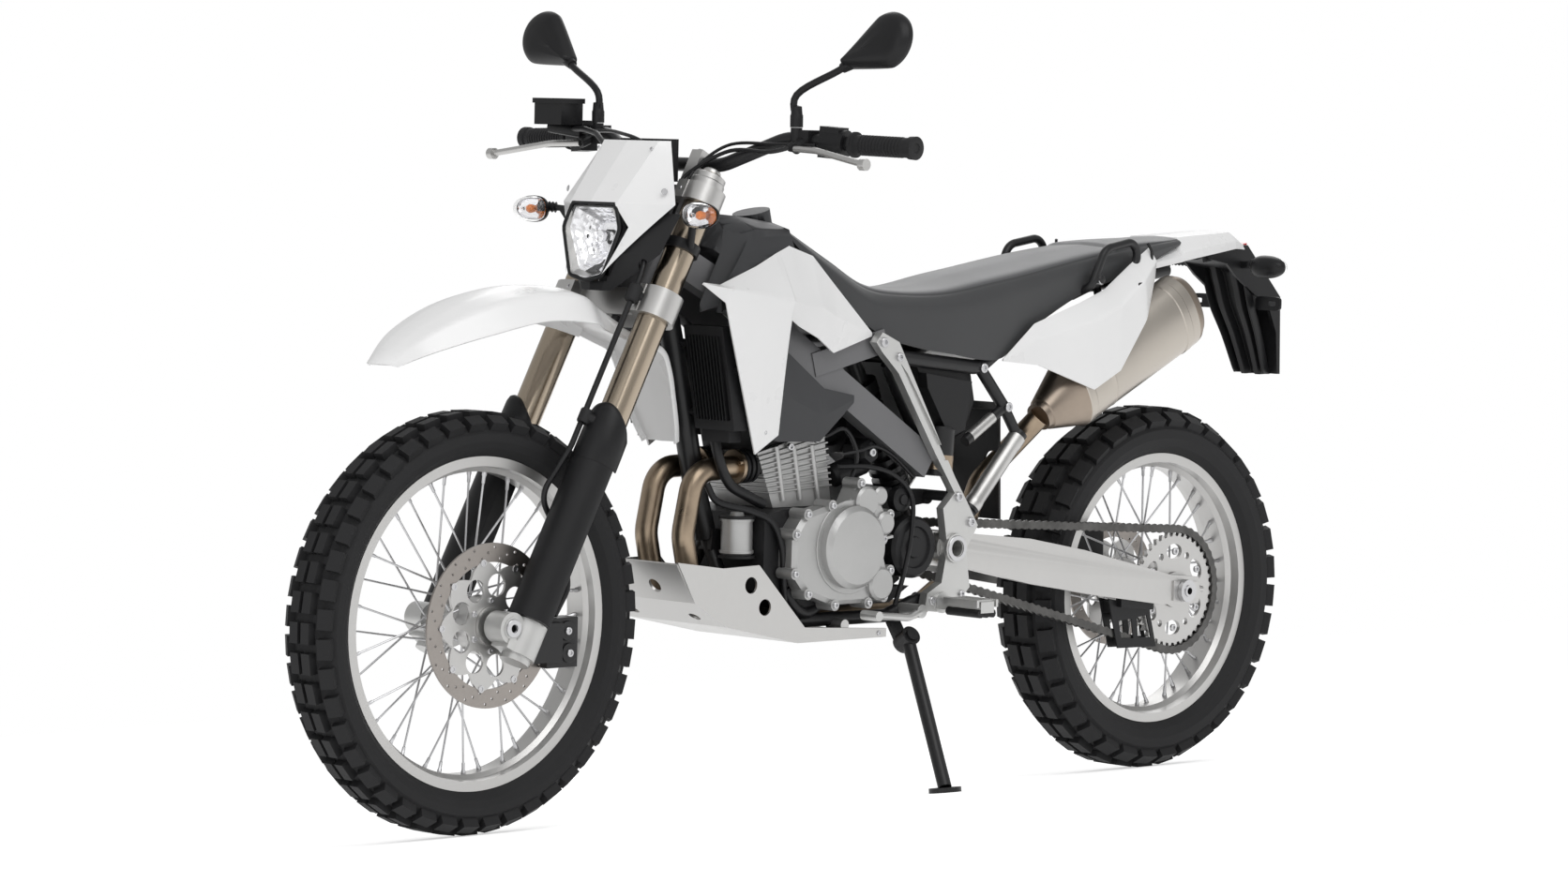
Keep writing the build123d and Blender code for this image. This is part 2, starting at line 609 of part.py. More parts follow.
# the instrument pod stands on a bracket from the upper clamp
POD_MID = fork(66, 0, UPPER_CLAMP_UP + 40)
pod = beam(POD_MID - Vector(0, 48, 0), POD_MID + Vector(0, 48, 0), 34, 66)
pod_stay = rod(fork(30, 0, UPPER_CLAMP_UP + UPPER_HIGH / 2 - 6), fork(56, 0, UPPER_CLAMP_UP + 40), 8)
keep("instrument", joined(joined(pod, pod_stay), less=[clamp(UPPER_CLAMP_UP, UPPER_HIGH, 22), hose_room]))

# ------------------------------------------------------------------ front fender
FENDER_WALL = 3
# x, height of the crown, height of the edges, half width
FENDER_SECTIONS = [
    (955, 724, 706, 30), (880, 770, 736, 66), (790, 808, 760, 86), (690, 828, 780, 98),
    (600, 826, 776, 100), (545, 804, 764, 68), (490, 776, 748, 56)]


def fender_section(x, crown, edge, half):
    """A fender's crossways slice: a flat crown, two shoulders and turned-down edges."""
    turn = crown - 0.2 * (crown - edge)
    with BuildSketch(Plane(origin=(x, 0, 0), x_dir=(0, 1, 0), z_dir=(1, 0, 0))) as slice_:
        with BuildLine():
            Polyline((-half, edge), (-half * 0.74, turn), (-half * 0.28, crown), (half * 0.28, crown),
                     (half * 0.74, turn), (half, edge), (half - FENDER_WALL, edge),
                     (half * 0.70, turn - FENDER_WALL), (half * 0.26, crown - FENDER_WALL),
                     (-half * 0.26, crown - FENDER_WALL), (-half * 0.70, turn - FENDER_WALL),
                     (FENDER_WALL - half, edge), close=True)
        make_face()
    return slice_


with BuildPart() as fender_skin:
    for row in FENDER_SECTIONS:
        add(fender_section(*row).sketch)
    loft(ruled=True)
# the flap behind the wheel: x, height and half width down its middle
FLAP = [(492, 764, 56), (455, 750, 60), (415, 733, 62), (396, 700, 60), (381, 653, 55), (368, 615, 48),
        (357, 587, 38)]
with BuildPart() as fender_flap:
    for n, (x, z, half) in enumerate(FLAP):
        above, below = FLAP[max(n - 1, 0)], FLAP[min(n + 1, len(FLAP) - 1)]
        along = Vector(below[0] - above[0], 0, below[1] - above[1])
        with BuildSketch(Plane(origin=(x, 0, z), x_dir=(0, 1, 0), z_dir=along)):
            with BuildLine():
                Polyline((-half, 0), (half, 0), (half, 12), (half - FENDER_WALL, 12),
                         (half - FENDER_WALL, FENDER_WALL), (FENDER_WALL - half, FENDER_WALL),
                         (FENDER_WALL - half, 12), (-half, 12), close=True)
            make_face()
    loft(ruled=True)
clamp_foot = LOWER_CLAMP_UP - CLAMP_HIGH / 2 - FIT
fender_boss = rod(fork(24, 22, clamp_foot - 18), fork(24, 22, clamp_foot), 9)
keep("front_fender", joined(fender_skin, fender_flap, joined(fender_boss, both_sides=True)))

# ------------------------------------------------------------------ front brake
CALIPER_MID = Vector(632, 0, 290)
caliper_body = beam(CALIPER_MID + Vector(0, 44, 0), CALIPER_MID + Vector(0, 78, 0), 62, 76)
caliper_caps = joined(across((624, 308), 15, 77, 82), across((620, 274), 15, 77, 82))
caliper_arm = slab([(640, 262), (700, 262), (756, 292), (756, 318), (700, 322), (640, 322)], 78, 88)
disc_sweep = across((FRONT_AXLE.X, FRONT_AXLE.Z), FRONT_DISC_R + 5, FRONT_DISC_Y - 5, FRONT_DISC_Y + 5)
keep("front_caliper", joined(caliper_body, caliper_caps, caliper_arm,
                             less=[disc_sweep, lower_leg, lug_web, axle_eye, pinch_lug,
                                   leg(GUARD_R, GUARD_LOW - 1, GUARD_HIGH)]))
# ------------------------------------------------------------------ frame
SPAR_WIDE, SPAR_HIGH = 30, 50
RAIL_Y = PLATE_Y - 15
CRADLE_R = 11
# the spar's middle: x, across, height
SPAR = [(372, 26, 872), (262, 66, 802), (-135, PLATE_Y - FIT - SPAR_WIDE / 2, 541)]
with BuildPart() as spar:
    for x, y, z in SPAR:
        with BuildSketch(Plane(origin=(x, y, z), x_dir=(0, 1, 0), z_dir=(0.835, 0, 0.55))):
            Rectangle(SPAR_WIDE, SPAR_HIGH)
    loft(ruled=True)
UPPER_END = Vector(-30, RAIL_Y, 742)
upper_beam = beam((120, 80, 704), UPPER_END, 24, 38)
damper_tube = across((-38, 735), 11, -RAIL_Y, RAIL_Y)
head_tube = rod(fork(0, 0, HEAD_LOW), fork(0, 0, HEAD_HIGH), HEAD_R)
head_bore = rod(fork(0, 0, HEAD_LOW - 60), fork(0, 0, HEAD_HIGH + 60), STEM_R + FIT)
gusset = beam((356, -34, 866), (356, 34, 866), 50, 54)
frame_spars = joined(spar, upper_beam, head_tube, gusset, damper_tube, both_sides=True, less=[head_bore])
keep("frame_spars", frame_spars)

DOWN_FOOT = Vector(262, 0, 432)
down_tube = bent_tube([(374, 0, 856), (342, 0, 736), (291, 0, 520), DOWN_FOOT], 18, [160, 80])
cradle = bent_tube([DOWN_FOOT, (262, 50, 350), (220, 80, 300), (-60, 84, 298), (-112, RAIL_Y, 318),
                    (-136, RAIL_Y, 322)], CRADLE_R, [20, 30, 30, 20])
cradle_end = across((-130, 320), 13, RAIL_Y - 8, PLATE_Y - FIT)
head_room = rod(fork(0, 0, HEAD_LOW - 60), fork(0, 0, HEAD_HIGH + 60), HEAD_R)
CASE_Y = 92
CASE = [(222, 470), (224, 350), (190, 324), (180, 320), (-60, 320), (-118, 352), (-118, 470), (-60, 505), (40, 478),
        (180, 478)]
case_block = slab(CASE, -CASE_Y, CASE_Y)
engine_stay = beam((270, 0, 430), (226, 0, 424), 46, 34)
lower_frame = joined(down_tube, cradle, cradle_end, engine_stay, both_sides=True,
                     less=[head_room, frame_spars, case_block])

# cast side plates: strut from the seat rail down to the pivot casting and the footpeg
PLATE = [(-2, 756), (12, 740), (-2, 724), (-40, 690), (-128, 560), (-176, 494), (-150, 470), (-162, 405),
         (-150, 350), (-118, 334), (-112, 306), (-170, 300), (-216, 340), (-206, 402), (-232, 440),
         (-212, 470), (-176, 520), (-138, 580), (-40, 740)]
pivot_boss = across((PIVOT_X, PIVOT_Z), 24, PLATE_Y + PLATE_THICK - 1, PLATE_Y + PLATE_THICK + 6)
peg_boss = across((-150, 318), 17, PLATE_Y + PLATE_THICK - 1, PLATE_Y + PLATE_THICK + 4)
swing_bore = across((PIVOT_X, PIVOT_Z), PIVOT_BORE_R, -150, 150)
strut_pocket = slab([(-60, 690), (-44, 706), (-120, 590), (-150, 548), (-160, 548)],
                    PLATE_Y + PLATE_THICK - 5, PLATE_Y + PLATE_THICK + 1)
with BuildPart() as right_pocket:
    add(strut_pocket.part)
    mirror(about=Plane.XZ, mode=Mode.REPLACE)
plates = slab(PLATE, PLATE_Y, PLATE_Y + PLATE_THICK)
keep("side_plates", joined(plates, pivot_boss, peg_boss, both_sides=True,
                           less=[swing_bore, strut_pocket, right_pocket]))

# subframe: upper rail, rear joint, the long lower strut and the muffler's hanger
seat_rail = bent_tube([(-40, RAIL_Y, 717), (-256, RAIL_Y, 694), (-500, 60, 820), (-640, 50, 834),
                       (-760, 46, 850)], 12, [60, 60, 60])
rail_joint = Vector(-319, RAIL_Y, 629)
seat_strut = rod((-258, RAIL_Y, 696), rail_joint, 10)
low_strut = rod((-242, RAIL_Y, 462), (-358, RAIL_Y, 585), 14)
mid_strut = rod((-229, RAIL_Y, 575), rail_joint, 9)
link = rod(rail_joint, (-352, RAIL_Y, 582), 9)
high_lug = across((-53, 716), 12, RAIL_Y, PLATE_Y - FIT)
low_lug = across((-226, 448), 13, RAIL_Y, PLATE_Y - FIT)
low_web = beam((-226, RAIL_Y + 2, 448), (-246, RAIL_Y + 2, 466), 18, 18)
MUFFLER_FRONT = Vector(-393, 94, 606)
MUFFLER_REAR = Vector(-756, 96, 792)
run = (MUFFLER_REAR - MUFFLER_FRONT).normalized()
with BuildPart() as muffler:
    # along its axis from the front, half width, half height
    for along, wide, high in ((8, 22, 22), (92, 43, 60), (388, 45, 65), (408, 37, 52)):
        with BuildSketch(Plane(origin=MUFFLER_FRONT + run * along, x_dir=(0, 1, 0), z_dir=run)):
            Ellipse(wide, high)
    loft(ruled=True)
MUFFLER_MOUTH = MUFFLER_FRONT + run * 408
HEADER_R = 18
PIPE_Z = 295
TAIL_ROUTE = [(150, 0, PIPE_Z), (-215, 0, PIPE_Z), (-282, 16, 345), (-292, 38, 440), (-318, 42, 505),
              (-372, 50, 552), (-401, 94, 610)]
TAIL_BENDS = [50, 40, 60, 50, 30]
tail_pipe = bent_tube(TAIL_ROUTE, HEADER_R, TAIL_BENDS)
tail_room = bent_tube(TAIL_ROUTE, HEADER_R + 3, TAIL_BENDS)
mouth = rod(MUFFLER_MOUTH - run * 60, MUFFLER_MOUTH + run * 10, 18)
hanger = rod((-574, 56, 828), (-566, 92, 740), 7)
subframe = joined(seat_rail, seat_strut, low_strut, mid_strut, link, high_lug, low_lug, low_web, hanger,
                  both_sides=True, less=[muffler, tail_room, frame_spars])
keep("subframe", subframe)
keep("muffler", joined(muffler, less=[mouth]))

# ------------------------------------------------------------------ engine
DRIVE = (DRIVE_X, DRIVE_Z)
drive_room = slab([(-40, 480), (-40, 345), (-200, 345), (-200, 480)], 58, 200)
rear_mount = joined(across((-180, 484), 12, 38, PLATE_Y - FIT), both_sides=True)
mount_arm = slab([(-90, 500), (-112, 466), (-180, 474), (-180, 496)], 38, 56, both_sides=True)
drive_shaft = across(DRIVE, 10, 50, SPROCKET_Y + 6)
with BuildPart() as drive_sprocket:
    with BuildSketch(Plane(origin=(DRIVE_X, SPROCKET_Y - TOOTH_THICK / 2, DRIVE_Z), z_dir=(0, 1, 0))):
        with BuildLine():
            Polyline(*toothed_outline(14, FRONT_SPROCKET_R - CHAIN_HIGH * 0.27 - 1, 6), close=True)
        make_face()
    extrude(amount=TOOTH_THICK)
keep("engine_case", joined(joined(case_block, rear_mount, mount_arm, less=[drive_room]),
                           drive_shaft, drive_sprocket))
BARREL = [(180, 478 + FIT), (50, 478 + FIT), (70, 600), (217, 567)]
HEAD = [(70, 600 + FIT), (217, 567 + FIT), (236, 640), (130, 664)]
barrel_block = slab(BARREL, -66, 66)
fins = []
for n in range(9):
    share = 0.26 + 0.08 * n
    low_front = Vector(180, 0, 478) + Vector(37, 0, 89) * share
    low_rear = Vector(50, 0, 478) + Vector(20, 0, 122) * share
    fins.append(slab([(low_front.X + 3, low_front.Z), (low_rear.X - 3, low_rear.Z),
                      (low_rear.X - 2, low_rear.Z + 3), (low_front.X + 4, low_front.Z + 3)], -70, 70))
keep("cylinder", joined(barrel_block, *fins))
head_block = slab(HEAD, -58, 58)
cam_cover = across((156, 622), 27, 57, 66)
keep("cylinder_head", joined(head_block, cam_cover))
ALTERNATOR = (69, 417)
COVER = [(190, 441), (165, 472), (111, 484), (76, 468), (48, 517), (7, 501), (-19, 465), (-5, 427),
         (-22, 376), (-9, 335), (26, 326), (101, 326), (161, 346), (191, 379)]
with BuildPart() as left_cover:
    with BuildSketch(Plane.XZ.offset(-CASE_Y - FIT)):
        with BuildLine():
            Polyline(*COVER, close=True)
        make_face()
    extrude(amount=-36)
    chamfer(left_cover.faces().sort_by(Axis.Y)[-1].edges(), 7)
with BuildPart() as alternator_cap:
    with BuildSketch(Plane(origin=(ALTERNATOR[0], 127, ALTERNATOR[1]), z_dir=(0, 1, 0))):
        Circle(66)
    extrude(amount=23)
    chamfer(alternator_cap.faces().sort_by(Axis.Y)[-1].edges(), 8)
bolt_bosses = [across((x, z), 9, 96, 131) for x, z in COVER]
right_cover = joined(across((40, 400), 84, -122, -CASE_Y - FIT), across((40, 400), 56, -134, -121),
                     across((150, 388), 34, -118, -CASE_Y - FIT))
keep("engine_covers", joined(left_cover, alternator_cap, *bolt_bosses, right_cover))
header = bent_tube([(216, 42, 545), (330, 42, 540), (352, 42, 440), (330, 42, 345), (262, 42, 313),
                    (165, 30, PIPE_Z), (120, 12, PIPE_Z)], HEADER_R, [45, 60, 60, 40, 30])
keep("exhaust_headers", joined(joined(header, both_sides=True), tail_pipe,
                               less=[barrel_block, head_block, muffler, *fins]))

# radiators: a core between two tanks, with a louvred front
RAD_IN, RAD_OUT = 30, 118
RAD = [(348, 768), (318, 606), (288, 606), (318, 768)]
rad_block = slab(RAD, RAD_IN, RAD_OUT)
core_room = slab([(352, 752), (324, 622), (316, 622), (344, 752)], RAD_IN + 6, RAD_OUT - 6)
louvres = [slab([(347, 753), (323, 621), (314, 621), (338, 753)], y, y + 2.5)
           for y in range(RAD_IN + 10, RAD_OUT - 8, 7)]
rad_foot = beam((303, 44, 598), (303, RAD_OUT - 14, 598), 26, 22)
rad_lugs = [rod((342, 8, 740), (332, RAD_IN + 6, 740), 6), rod((317, 8, 632), (308, RAD_IN + 6, 632), 6)]
radiator = joined(joined(rad_block, less=[core_room]), *louvres, rad_foot, *rad_lugs, both_sides=True,
                  less=[down_tube])
keep("radiators", radiator)

# ------------------------------------------------------------------ bodywork
# x, then the left half's (across, height) points from the top middle down
TANK = [
    (352, (0, 850), (40, 850), (114, 838), (119, 832), (119, 790)),
    (300, (0, 941), (44, 940), (98, 880), (115, 854), (115, 796)),
    (256, (0, 940), (45, 938), (88, 918), (110, 868), (110, 796)),
    (176, (0, 930), (45, 928), (85, 918), (102, 880), (102, 800)),
    (172, (0, 900), (45, 898), (80, 888), (102, 876), (102, 800)),
    (60, (0, 838), (40, 836), (75, 825), (97, 800), (95, 752)),
    (-4, (0, 790), (40, 790), (70, 785), (90, 765), (90, 745))]
tank_floor = slab([(420, 975), (296, 866), (-30, 700), (-30, 600), (420, 600)], -70, 70)
tank_cap = rod((172, 0, 920), (178, 0, 944), 30)
tank_body = joined(station_body(TANK), tank_cap, less=[tank_floor, frame_spars, lock_sweep, both_tubes])
keep("tank_cover", tank_body)
# x, then outer (across, height) points: top edge, crease, lower edge
SHROUD = [
    (412, (141, 838), (142, 836), (141, 834)),
    (363, (126, 834), (146, 829), (140, 806)),
    (276, (116, 862), (149, 818), (122, 569)),
    (228, (111, 882), (150, 809), (124, 598)),
    (222, (110, 884), (150, 808), (140, 780)),
    (198, (108, 893), (146, 801), (134, 768)),
    (142, (105, 877), (131, 798), (122, 748)),
    (98, (105, 837), (118, 782), (112, 724)),
    (5, (104, 755), (104.5, 752), (104, 749))]
shroud_skin = station_panel(SHROUD, 4)
shroud_boss = across((314, 700), 8, RAD_OUT - 4, 129.5)
keep("shrouds", joined(shroud_skin, shroud_boss, both_sides=True,
                       less=[tank_body, radiator, frame_spars]))
INNER = [
    (262, (116, 742), (118, 680), (112, 596)),
    (207, (108, 735), (114, 660), (104, 586)),
    (111, (106, 668), (107, 624), (98, 583)),
    (44, (106, 656), (106.5, 650), (106, 644))]
inner_skin = station_panel(INNER, 4)
inner_boss = beam((202, 80, 722), (202, 106, 722), 20, 18)
keep("inner_shrouds", joined(inner_skin, inner_boss, both_sides=True, less=[frame_spars]))
SEAT = [
    (150, (0, 923), (44, 921), (58, 912), (60, 905)),
    (60, (0, 878), (58, 870), (84, 846), (90, 806)),
    (-10, (0, 838), (68, 832), (96, 806), (98, 756)),
    (-85, (0, 824), (78, 820), (100, 800), (102, 733)),
    (-180, (0, 826), (86, 822), (106, 800), (106, 718)),
    (-290, (0, 845), (94, 840), (108, 815), (104, 708)),
    (-364, (0, 858), (94, 852), (104, 825), (100, 752)),
    (-500, (0, 881), (88, 875), (98, 852), (92, 812)),
    (-640, (0, 897), (76, 893), (88, 876), (86, 850)),
    (-778, (0, 906), (56, 903), (64, 897), (62, 893))]
seat_belly = slab([(-30, 745), (-60, 770), (-240, 770), (-330, 790), (-520, 845), (-660, 868), (-700, 600),
                   (-30, 600)], -60, 60)
keep("seat", joined(station_body(SEAT), less=[tank_body, seat_belly, frame_spars, subframe]))
# x, then outer (across, height) points: top edge, crease, lower edge
SIDE_COVER = [
    (-292, (113, 709), (113.5, 707), (113, 705)),
    (-364, (114, 766), (126, 738), (124, 698)),
    (-472, (114, 799), (148, 768), (152, 657)),
    (-531, (113, 820), (152, 792), (156, 688)),
    (-600, (108, 862), (144, 838), (150, 772)),
    (-658, (98, 890), (116, 868), (114, 842))]
cover_skin = station_panel(SIDE_COVER, 4)
cover_bosses = [across((-372, 738), 8, 74, 119), across((-590, 826), 7, 50, 141)]
keep("side_covers", joined(cover_skin, *cover_bosses, both_sides=True, less=[subframe, muffler]))
TAIL = [
    (-650, (0, 866), (60, 865), (90, 858), (92, 849)),
    (-771, (0, 889), (52, 888), (72, 874), (74, 864)),
    (-779, (0, 907), (52, 905), (72, 880), (74, 866)),
    (-924, (0, 916), (44, 914), (60, 900), (62, 886)),
    (-966, (0, 898), (34, 896), (46, 890), (48, 884))]
tail_body = joined(station_body(TAIL), less=[joined(station_body(SEAT)), subframe])
keep("tail_cover", tail_body)
HOLDER = [(-850, 884), (-930, 892), (-968, 892), (-1058, 802), (-1062, 668), (-1054, 668), (-1046, 780),
          (-968, 850), (-870, 868)]
holder_side = slab([(-880, 890), (-950, 892), (-1058, 800), (-1058, 720), (-1030, 780), (-940, 838)], 44, 50,
                   both_sides=True)
holder_body = joined(slab(HOLDER, -50, 50), holder_side, less=[tail_body])
keep("plate_holder", holder_body)
rear_stalk = rod((-956, 48, 858), (-940, 112, 861), 7)
rear_blinker = rod((-941, 108, 861), (-931, 166, 861), 16)
tail_lamp = slab([(-958, 892), (-962, 876), (-984, 872), (-986, 896)], -34, 34)
keep("rear_lamps", joined(joined(rear_stalk, rear_blinker, both_sides=True), tail_lamp,
                          less=[tail_body, holder_body]))
GRAB_R = 7
grab = bent_tube([(-500, 70, 808), (-506, 108, 826), (-536, 110, 888), (-636, 106, 905), (-606, 106, 846),
                  (-612, 60, 826)], GRAB_R, [18, 30, 22, 22])
keep("grab_handles", joined(joined(grab, both_sides=True),
                            less=[subframe, tail_body, joined(cover_skin, both_sides=True),
                                  joined(*cover_bosses, both_sides=True), joined(station_body(SEAT))]))

# bash plate: a folded sheet under the engine, with lightening holes
BASH_WALL = 4
bash_side = slab([(430, 406), (332, 393), (255, 395), (152, 292), (-31, 282), (-31, 268), (167, 268),
                  (325, 301), (392, 341)], 112, 116)
bash_floor = slab([(430, 402), (392, 341), (325, 301), (167, 268), (-31, 268), (-31, 272), (166, 272),
                   (323, 305), (389, 344), (426, 404)], -113, 113)
bash_holes = joined(across((272, 364), 13, -130, 130), across((241, 328), 13, -130, 130),
                    rod((420, 40, 352), (380, 40, 388), 12), rod((420, -40, 352), (380, -40, 388), 12),
                    rod((360, 70, 300), (330, 70, 340), 10), rod((360, -70, 300), (330, -70, 340), 10))
bash_stay = across((60, 291), 9, 78, 113)
keep("bash_plate", joined(bash_side, bash_floor, bash_stay, both_sides=True, less=[bash_holes, joined(cradle, both_sides=True)]))

# ------------------------------------------------------------------ swingarm and chain
ARM = [(-190, 432), (-242, 424), (-378, 411), (-511, 387), (-712, 340), (-730, 336), (-800, 330),
       (-806, 300), (-800, 285), (-706, 287), (-548, 309), (-380, 336), (-190, 376)]
arm_leg = slab(ARM, ARM_IN_Y, ARM_OUT_Y)
arm_brace = slab([(-340, 414), (-402, 406), (-402, 352), (-340, 360)], -ARM_IN_Y - 1, ARM_IN_Y + 1)
chain_window = slab([(-330, 460), (-420, 448), (-420, 390), (-330, 396)], 66, ARM_IN_Y - 0.5)
chain_window_low = slab([(-330, 362), (-420, 352), (-420, 300), (-330, 310)], 66, ARM_IN_Y - 0.5)
slot_plate = slab([(-734, 326), (-796, 322), (-796, 292), (-734, 292)], ARM_OUT_Y - 1, ARM_OUT_Y + 3)
adjuster = rod((-798, 96, 308), (-818, 96, 308), 5)
pivot_tube = across((PIVOT_X, PIVOT_Z), 24, -PLATE_Y + FIT, PLATE_Y - FIT)
pivot_web = slab([(-170, 422), (-240, 414), (-240, 366), (-170, 388)], -60, 60)
nut_room = joined(across((REAR_AXLE.X, REAR_AXLE.Z), 19.3, ARM_OUT_Y + FIT, ARM_OUT_Y + 20), both_sides=True)
axle_room = across((REAR_AXLE.X, REAR_AXLE.Z), AXLE_R + FIT, -150, 150)
keep("swingarm", joined(
    arm_leg, joined(arm_brace, less=[chain_window, chain_window_low]), slot_plate, adjuster, pivot_web,
    pivot_tube, both_sides=True, less=[swing_bore, axle_room, nut_room]))


def chain_outline(swell):
    """The chain's run as a closed outline, a point at and between the pins, swollen at the pins."""
    rear, front = Vector(REAR_AXLE.X, REAR_AXLE.Z), Vector(DRIVE_X, DRIVE_Z)
    span = front - rear
    length = span.length
    tilt = Vector(span.Y, -span.X).normalized()          # square to the line of centres, downwards
    open_turn = acos((SPROCKET_R - FRONT_SPROCKET_R) / length)
    ahead = span.normalized()
    runs = [(rear, SPROCKET_R, open_turn, 2 * pi - open_turn), (front, FRONT_SPROCKET_R, -open_turn, open_turn)]

    def on_ring(centre, radius, turn):
        return centre + (ahead * cos(turn) - tilt * sin(turn)) * radius, (ahead * cos(turn) - tilt * sin(turn))

    straight = (length ** 2 - (SPROCKET_R - FRONT_SPROCKET_R) ** 2) ** 0.5
    arcs = [radius * (end - start) for _, radius, start, end in runs]
    total = sum(arcs) + 2 * straight
    half_links = 2 * round(total / CHAIN_PITCH)
    step = total / half_links
    points = []
    for n in range(half_links):
        gone = n * step
        grow = swell[n % 2]
        if gone < arcs[0]:
            spot, out = on_ring(rear, SPROCKET_R, open_turn + gone / SPROCKET_R)
        elif gone < arcs[0] + straight:
            low, out = on_ring(rear, SPROCKET_R, 2 * pi - open_turn)
            far, _ = on_ring(front, FRONT_SPROCKET_R, -open_turn)
            spot = low + (far - low) * ((gone - arcs[0]) / straight)
        elif gone < arcs[0] + straight + arcs[1]:
            turn = -open_turn + (gone - arcs[0] - straight) / FRONT_SPROCKET_R
            spot, out = on_ring(front, FRONT_SPROCKET_R, turn)
        else:
            near, out = on_ring(front, FRONT_SPROCKET_R, open_turn)
            far, _ = on_ring(rear, SPROCKET_R, open_turn)
            spot = near + (far - near) * ((gone - arcs[0] - straight - arcs[1]) / straight)
        spot = spot + out * grow
        points.append((spot.X, spot.Y))
    return points


def chain_band(inner_y, outer_y, swell):
    """One layer of the chain between two widths."""
    with BuildPart() as band:
        with BuildSketch(Plane.XZ.offset(-inner_y)):
            with BuildLine():
                Polyline(*chain_outline(swell), close=True)
            make_face()
            with BuildLine():
                Polyline(*chain_outline([-grow for grow in swell]), close=True)
            make_face(mode=Mode.SUBTRACT)
        extrude(amount=inner_y - outer_y)
    return band


link_swell = (CHAIN_HIGH / 2, CHAIN_HIGH * 0.34)
roller_swell = (CHAIN_HIGH * 0.27, CHAIN_HIGH * 0.2)
chain_in, chain_out = SPROCKET_Y - CHAIN_WIDE / 2, SPROCKET_Y + CHAIN_WIDE / 2
keep("chain", joined(chain_band(chain_in, chain_in + 3, link_swell),
                     chain_band(chain_in + 2.9, chain_out - 2.9, roller_swell),
                     chain_band(chain_out - 3, chain_out, link_swell)))
GUIDE = [(-604, 259), (-617, 216), (-714, 214), (-694, 281), (-591, 301)]
guide_windows = joined(slab([(-618, 262), (-626, 232), (-656, 231), (-650, 264)], 60, 95),
                       slab([(-664, 266), (-668, 232), (-700, 231), (-688, 268)], 60, 95))
guide_tab = slab([(-612, 306), (-612, 286), (-694, 278), (-694, 296)], 85.3, 98)
guide_web = slab([(-597, 296), (-601, 276), (-652, 271), (-652, 290)], 66, 86)
keep("chain_guide", joined(
    slab(GUIDE, 85.3, 87.7), slab(GUIDE, 64.5, 67), guide_web, guide_tab, less=[guide_windows, arm_leg]))

# rear damper from the frame's cross tube down to the swingarm, with its reservoir under the rail
damper_low = Vector(-190, 0, 428)
damper_high = Vector(-38, 0, 735)
damper_run = (damper_high - damper_low).normalized()
spring_turns = [rod(damper_low + damper_run * (90 + 18 * n), damper_low + damper_run * (98 + 18 * n), 29)
                for n in range(9)]
rear_damper = joined(
    rod(damper_low, damper_high, 17), rod(damper_low + damper_run * 76, damper_low + damper_run * 88, 30),
    rod(damper_low + damper_run * 248, damper_low + damper_run * 268, 30), *spring_turns,
    less=[damper_tube, pivot_web, pivot_tube])
reservoir = joined(rod((-64, 80, 706), (-134, 76, 594), 17), less=[subframe, spar])
keep("rear_damper", joined(rear_damper, reservoir))
AIRBOX = [(-124, 700), (-250, 692), (-262, 640), (-345, 634), (-352, 441), (-347, 441), (-338, 622),
          (-255, 628), (-240, 590), (-195, 570)]
air_panel = slab([(-128, 688), (-236, 672), (-222, 594), (-186, 581), (-132, 664)], 77, 98)
keep("airbox", joined(slab(AIRBOX, -60, 60), slab([(-124, 700), (-250, 692), (-262, 640), (-240, 590), (-195, 570)],
                      -RAIL_Y + 12 + FIT, RAIL_Y - 12 - FIT), air_panel, both_sides=True,
                      less=[subframe, rear_damper, reservoir, tail_room]))

# footpegs, gear lever and brake pedal
PEG_IN, PEG_OUT = PLATE_Y + PLATE_THICK + 4 + FIT, 225
peg_bar = beam((-150, PEG_IN, 318), (-150, PEG_OUT, 318), 30, 18)
peg_teeth = [beam((-150, y, 324), (-150, y + 3, 324), 48, 12) for y in range(156, 222, 12)]
peg_rails = joined(beam((-172, 150, 324), (-172, PEG_OUT, 324), 5, 12),
                   beam((-128, 150, 324), (-128, PEG_OUT, 324), 5, 12))
toe_pivot = across((-88, 308), 11, RAIL_Y - 4, 140)
toe_lever = bent_tube([(-88, 134, 308), (-60, 138, 299), (46, 146, 309)], 6, [40])
toe_peg = across((46, 309), 8, 140, 176)
keep("foot_controls", joined(
    peg_bar, *peg_teeth, peg_rails, toe_pivot, toe_lever, toe_peg, both_sides=True,
    less=[lower_frame, joined(slab(PLATE, PLATE_Y - 2, PLATE_Y + PLATE_THICK + FIT), both_sides=True)]))
rear_disc_sweep = across((REAR_AXLE.X, REAR_AXLE.Z), REAR_DISC_R + 5, REAR_DISC_Y - 5, REAR_DISC_Y + 5)
rear_caliper = beam((-690, -46, 386), (-690, -80, 386), 66, 56)
caliper_plate = slab([(-738, 300), (-762, 286), (-786, 308), (-770, 334), (-716, 398), (-664, 398),
                      (-660, 366), (-716, 344)], -86.5, -78)
keep("rear_caliper", joined(rear_caliper, caliper_plate, less=[rear_disc_sweep, axle_room]))

# ------------------------------------------------------------------ side stand
LEANED = Location((0, 0, 0), (-LEAN, 0, 0))
FLOOR = min(pieces[name].moved(LEANED).bounding_box().min.Z for name in ("front_tyre", "rear_tyre"))


def on_floor(x, y, above=0):
    """The upright model's point whose place on the floor, or above it, is (x, y)."""
    lean = radians(LEAN)
    return Vector(x, y, y * tan(lean) + FLOOR / cos(lean)) + Vector(0, -sin(lean), cos(lean)) * above


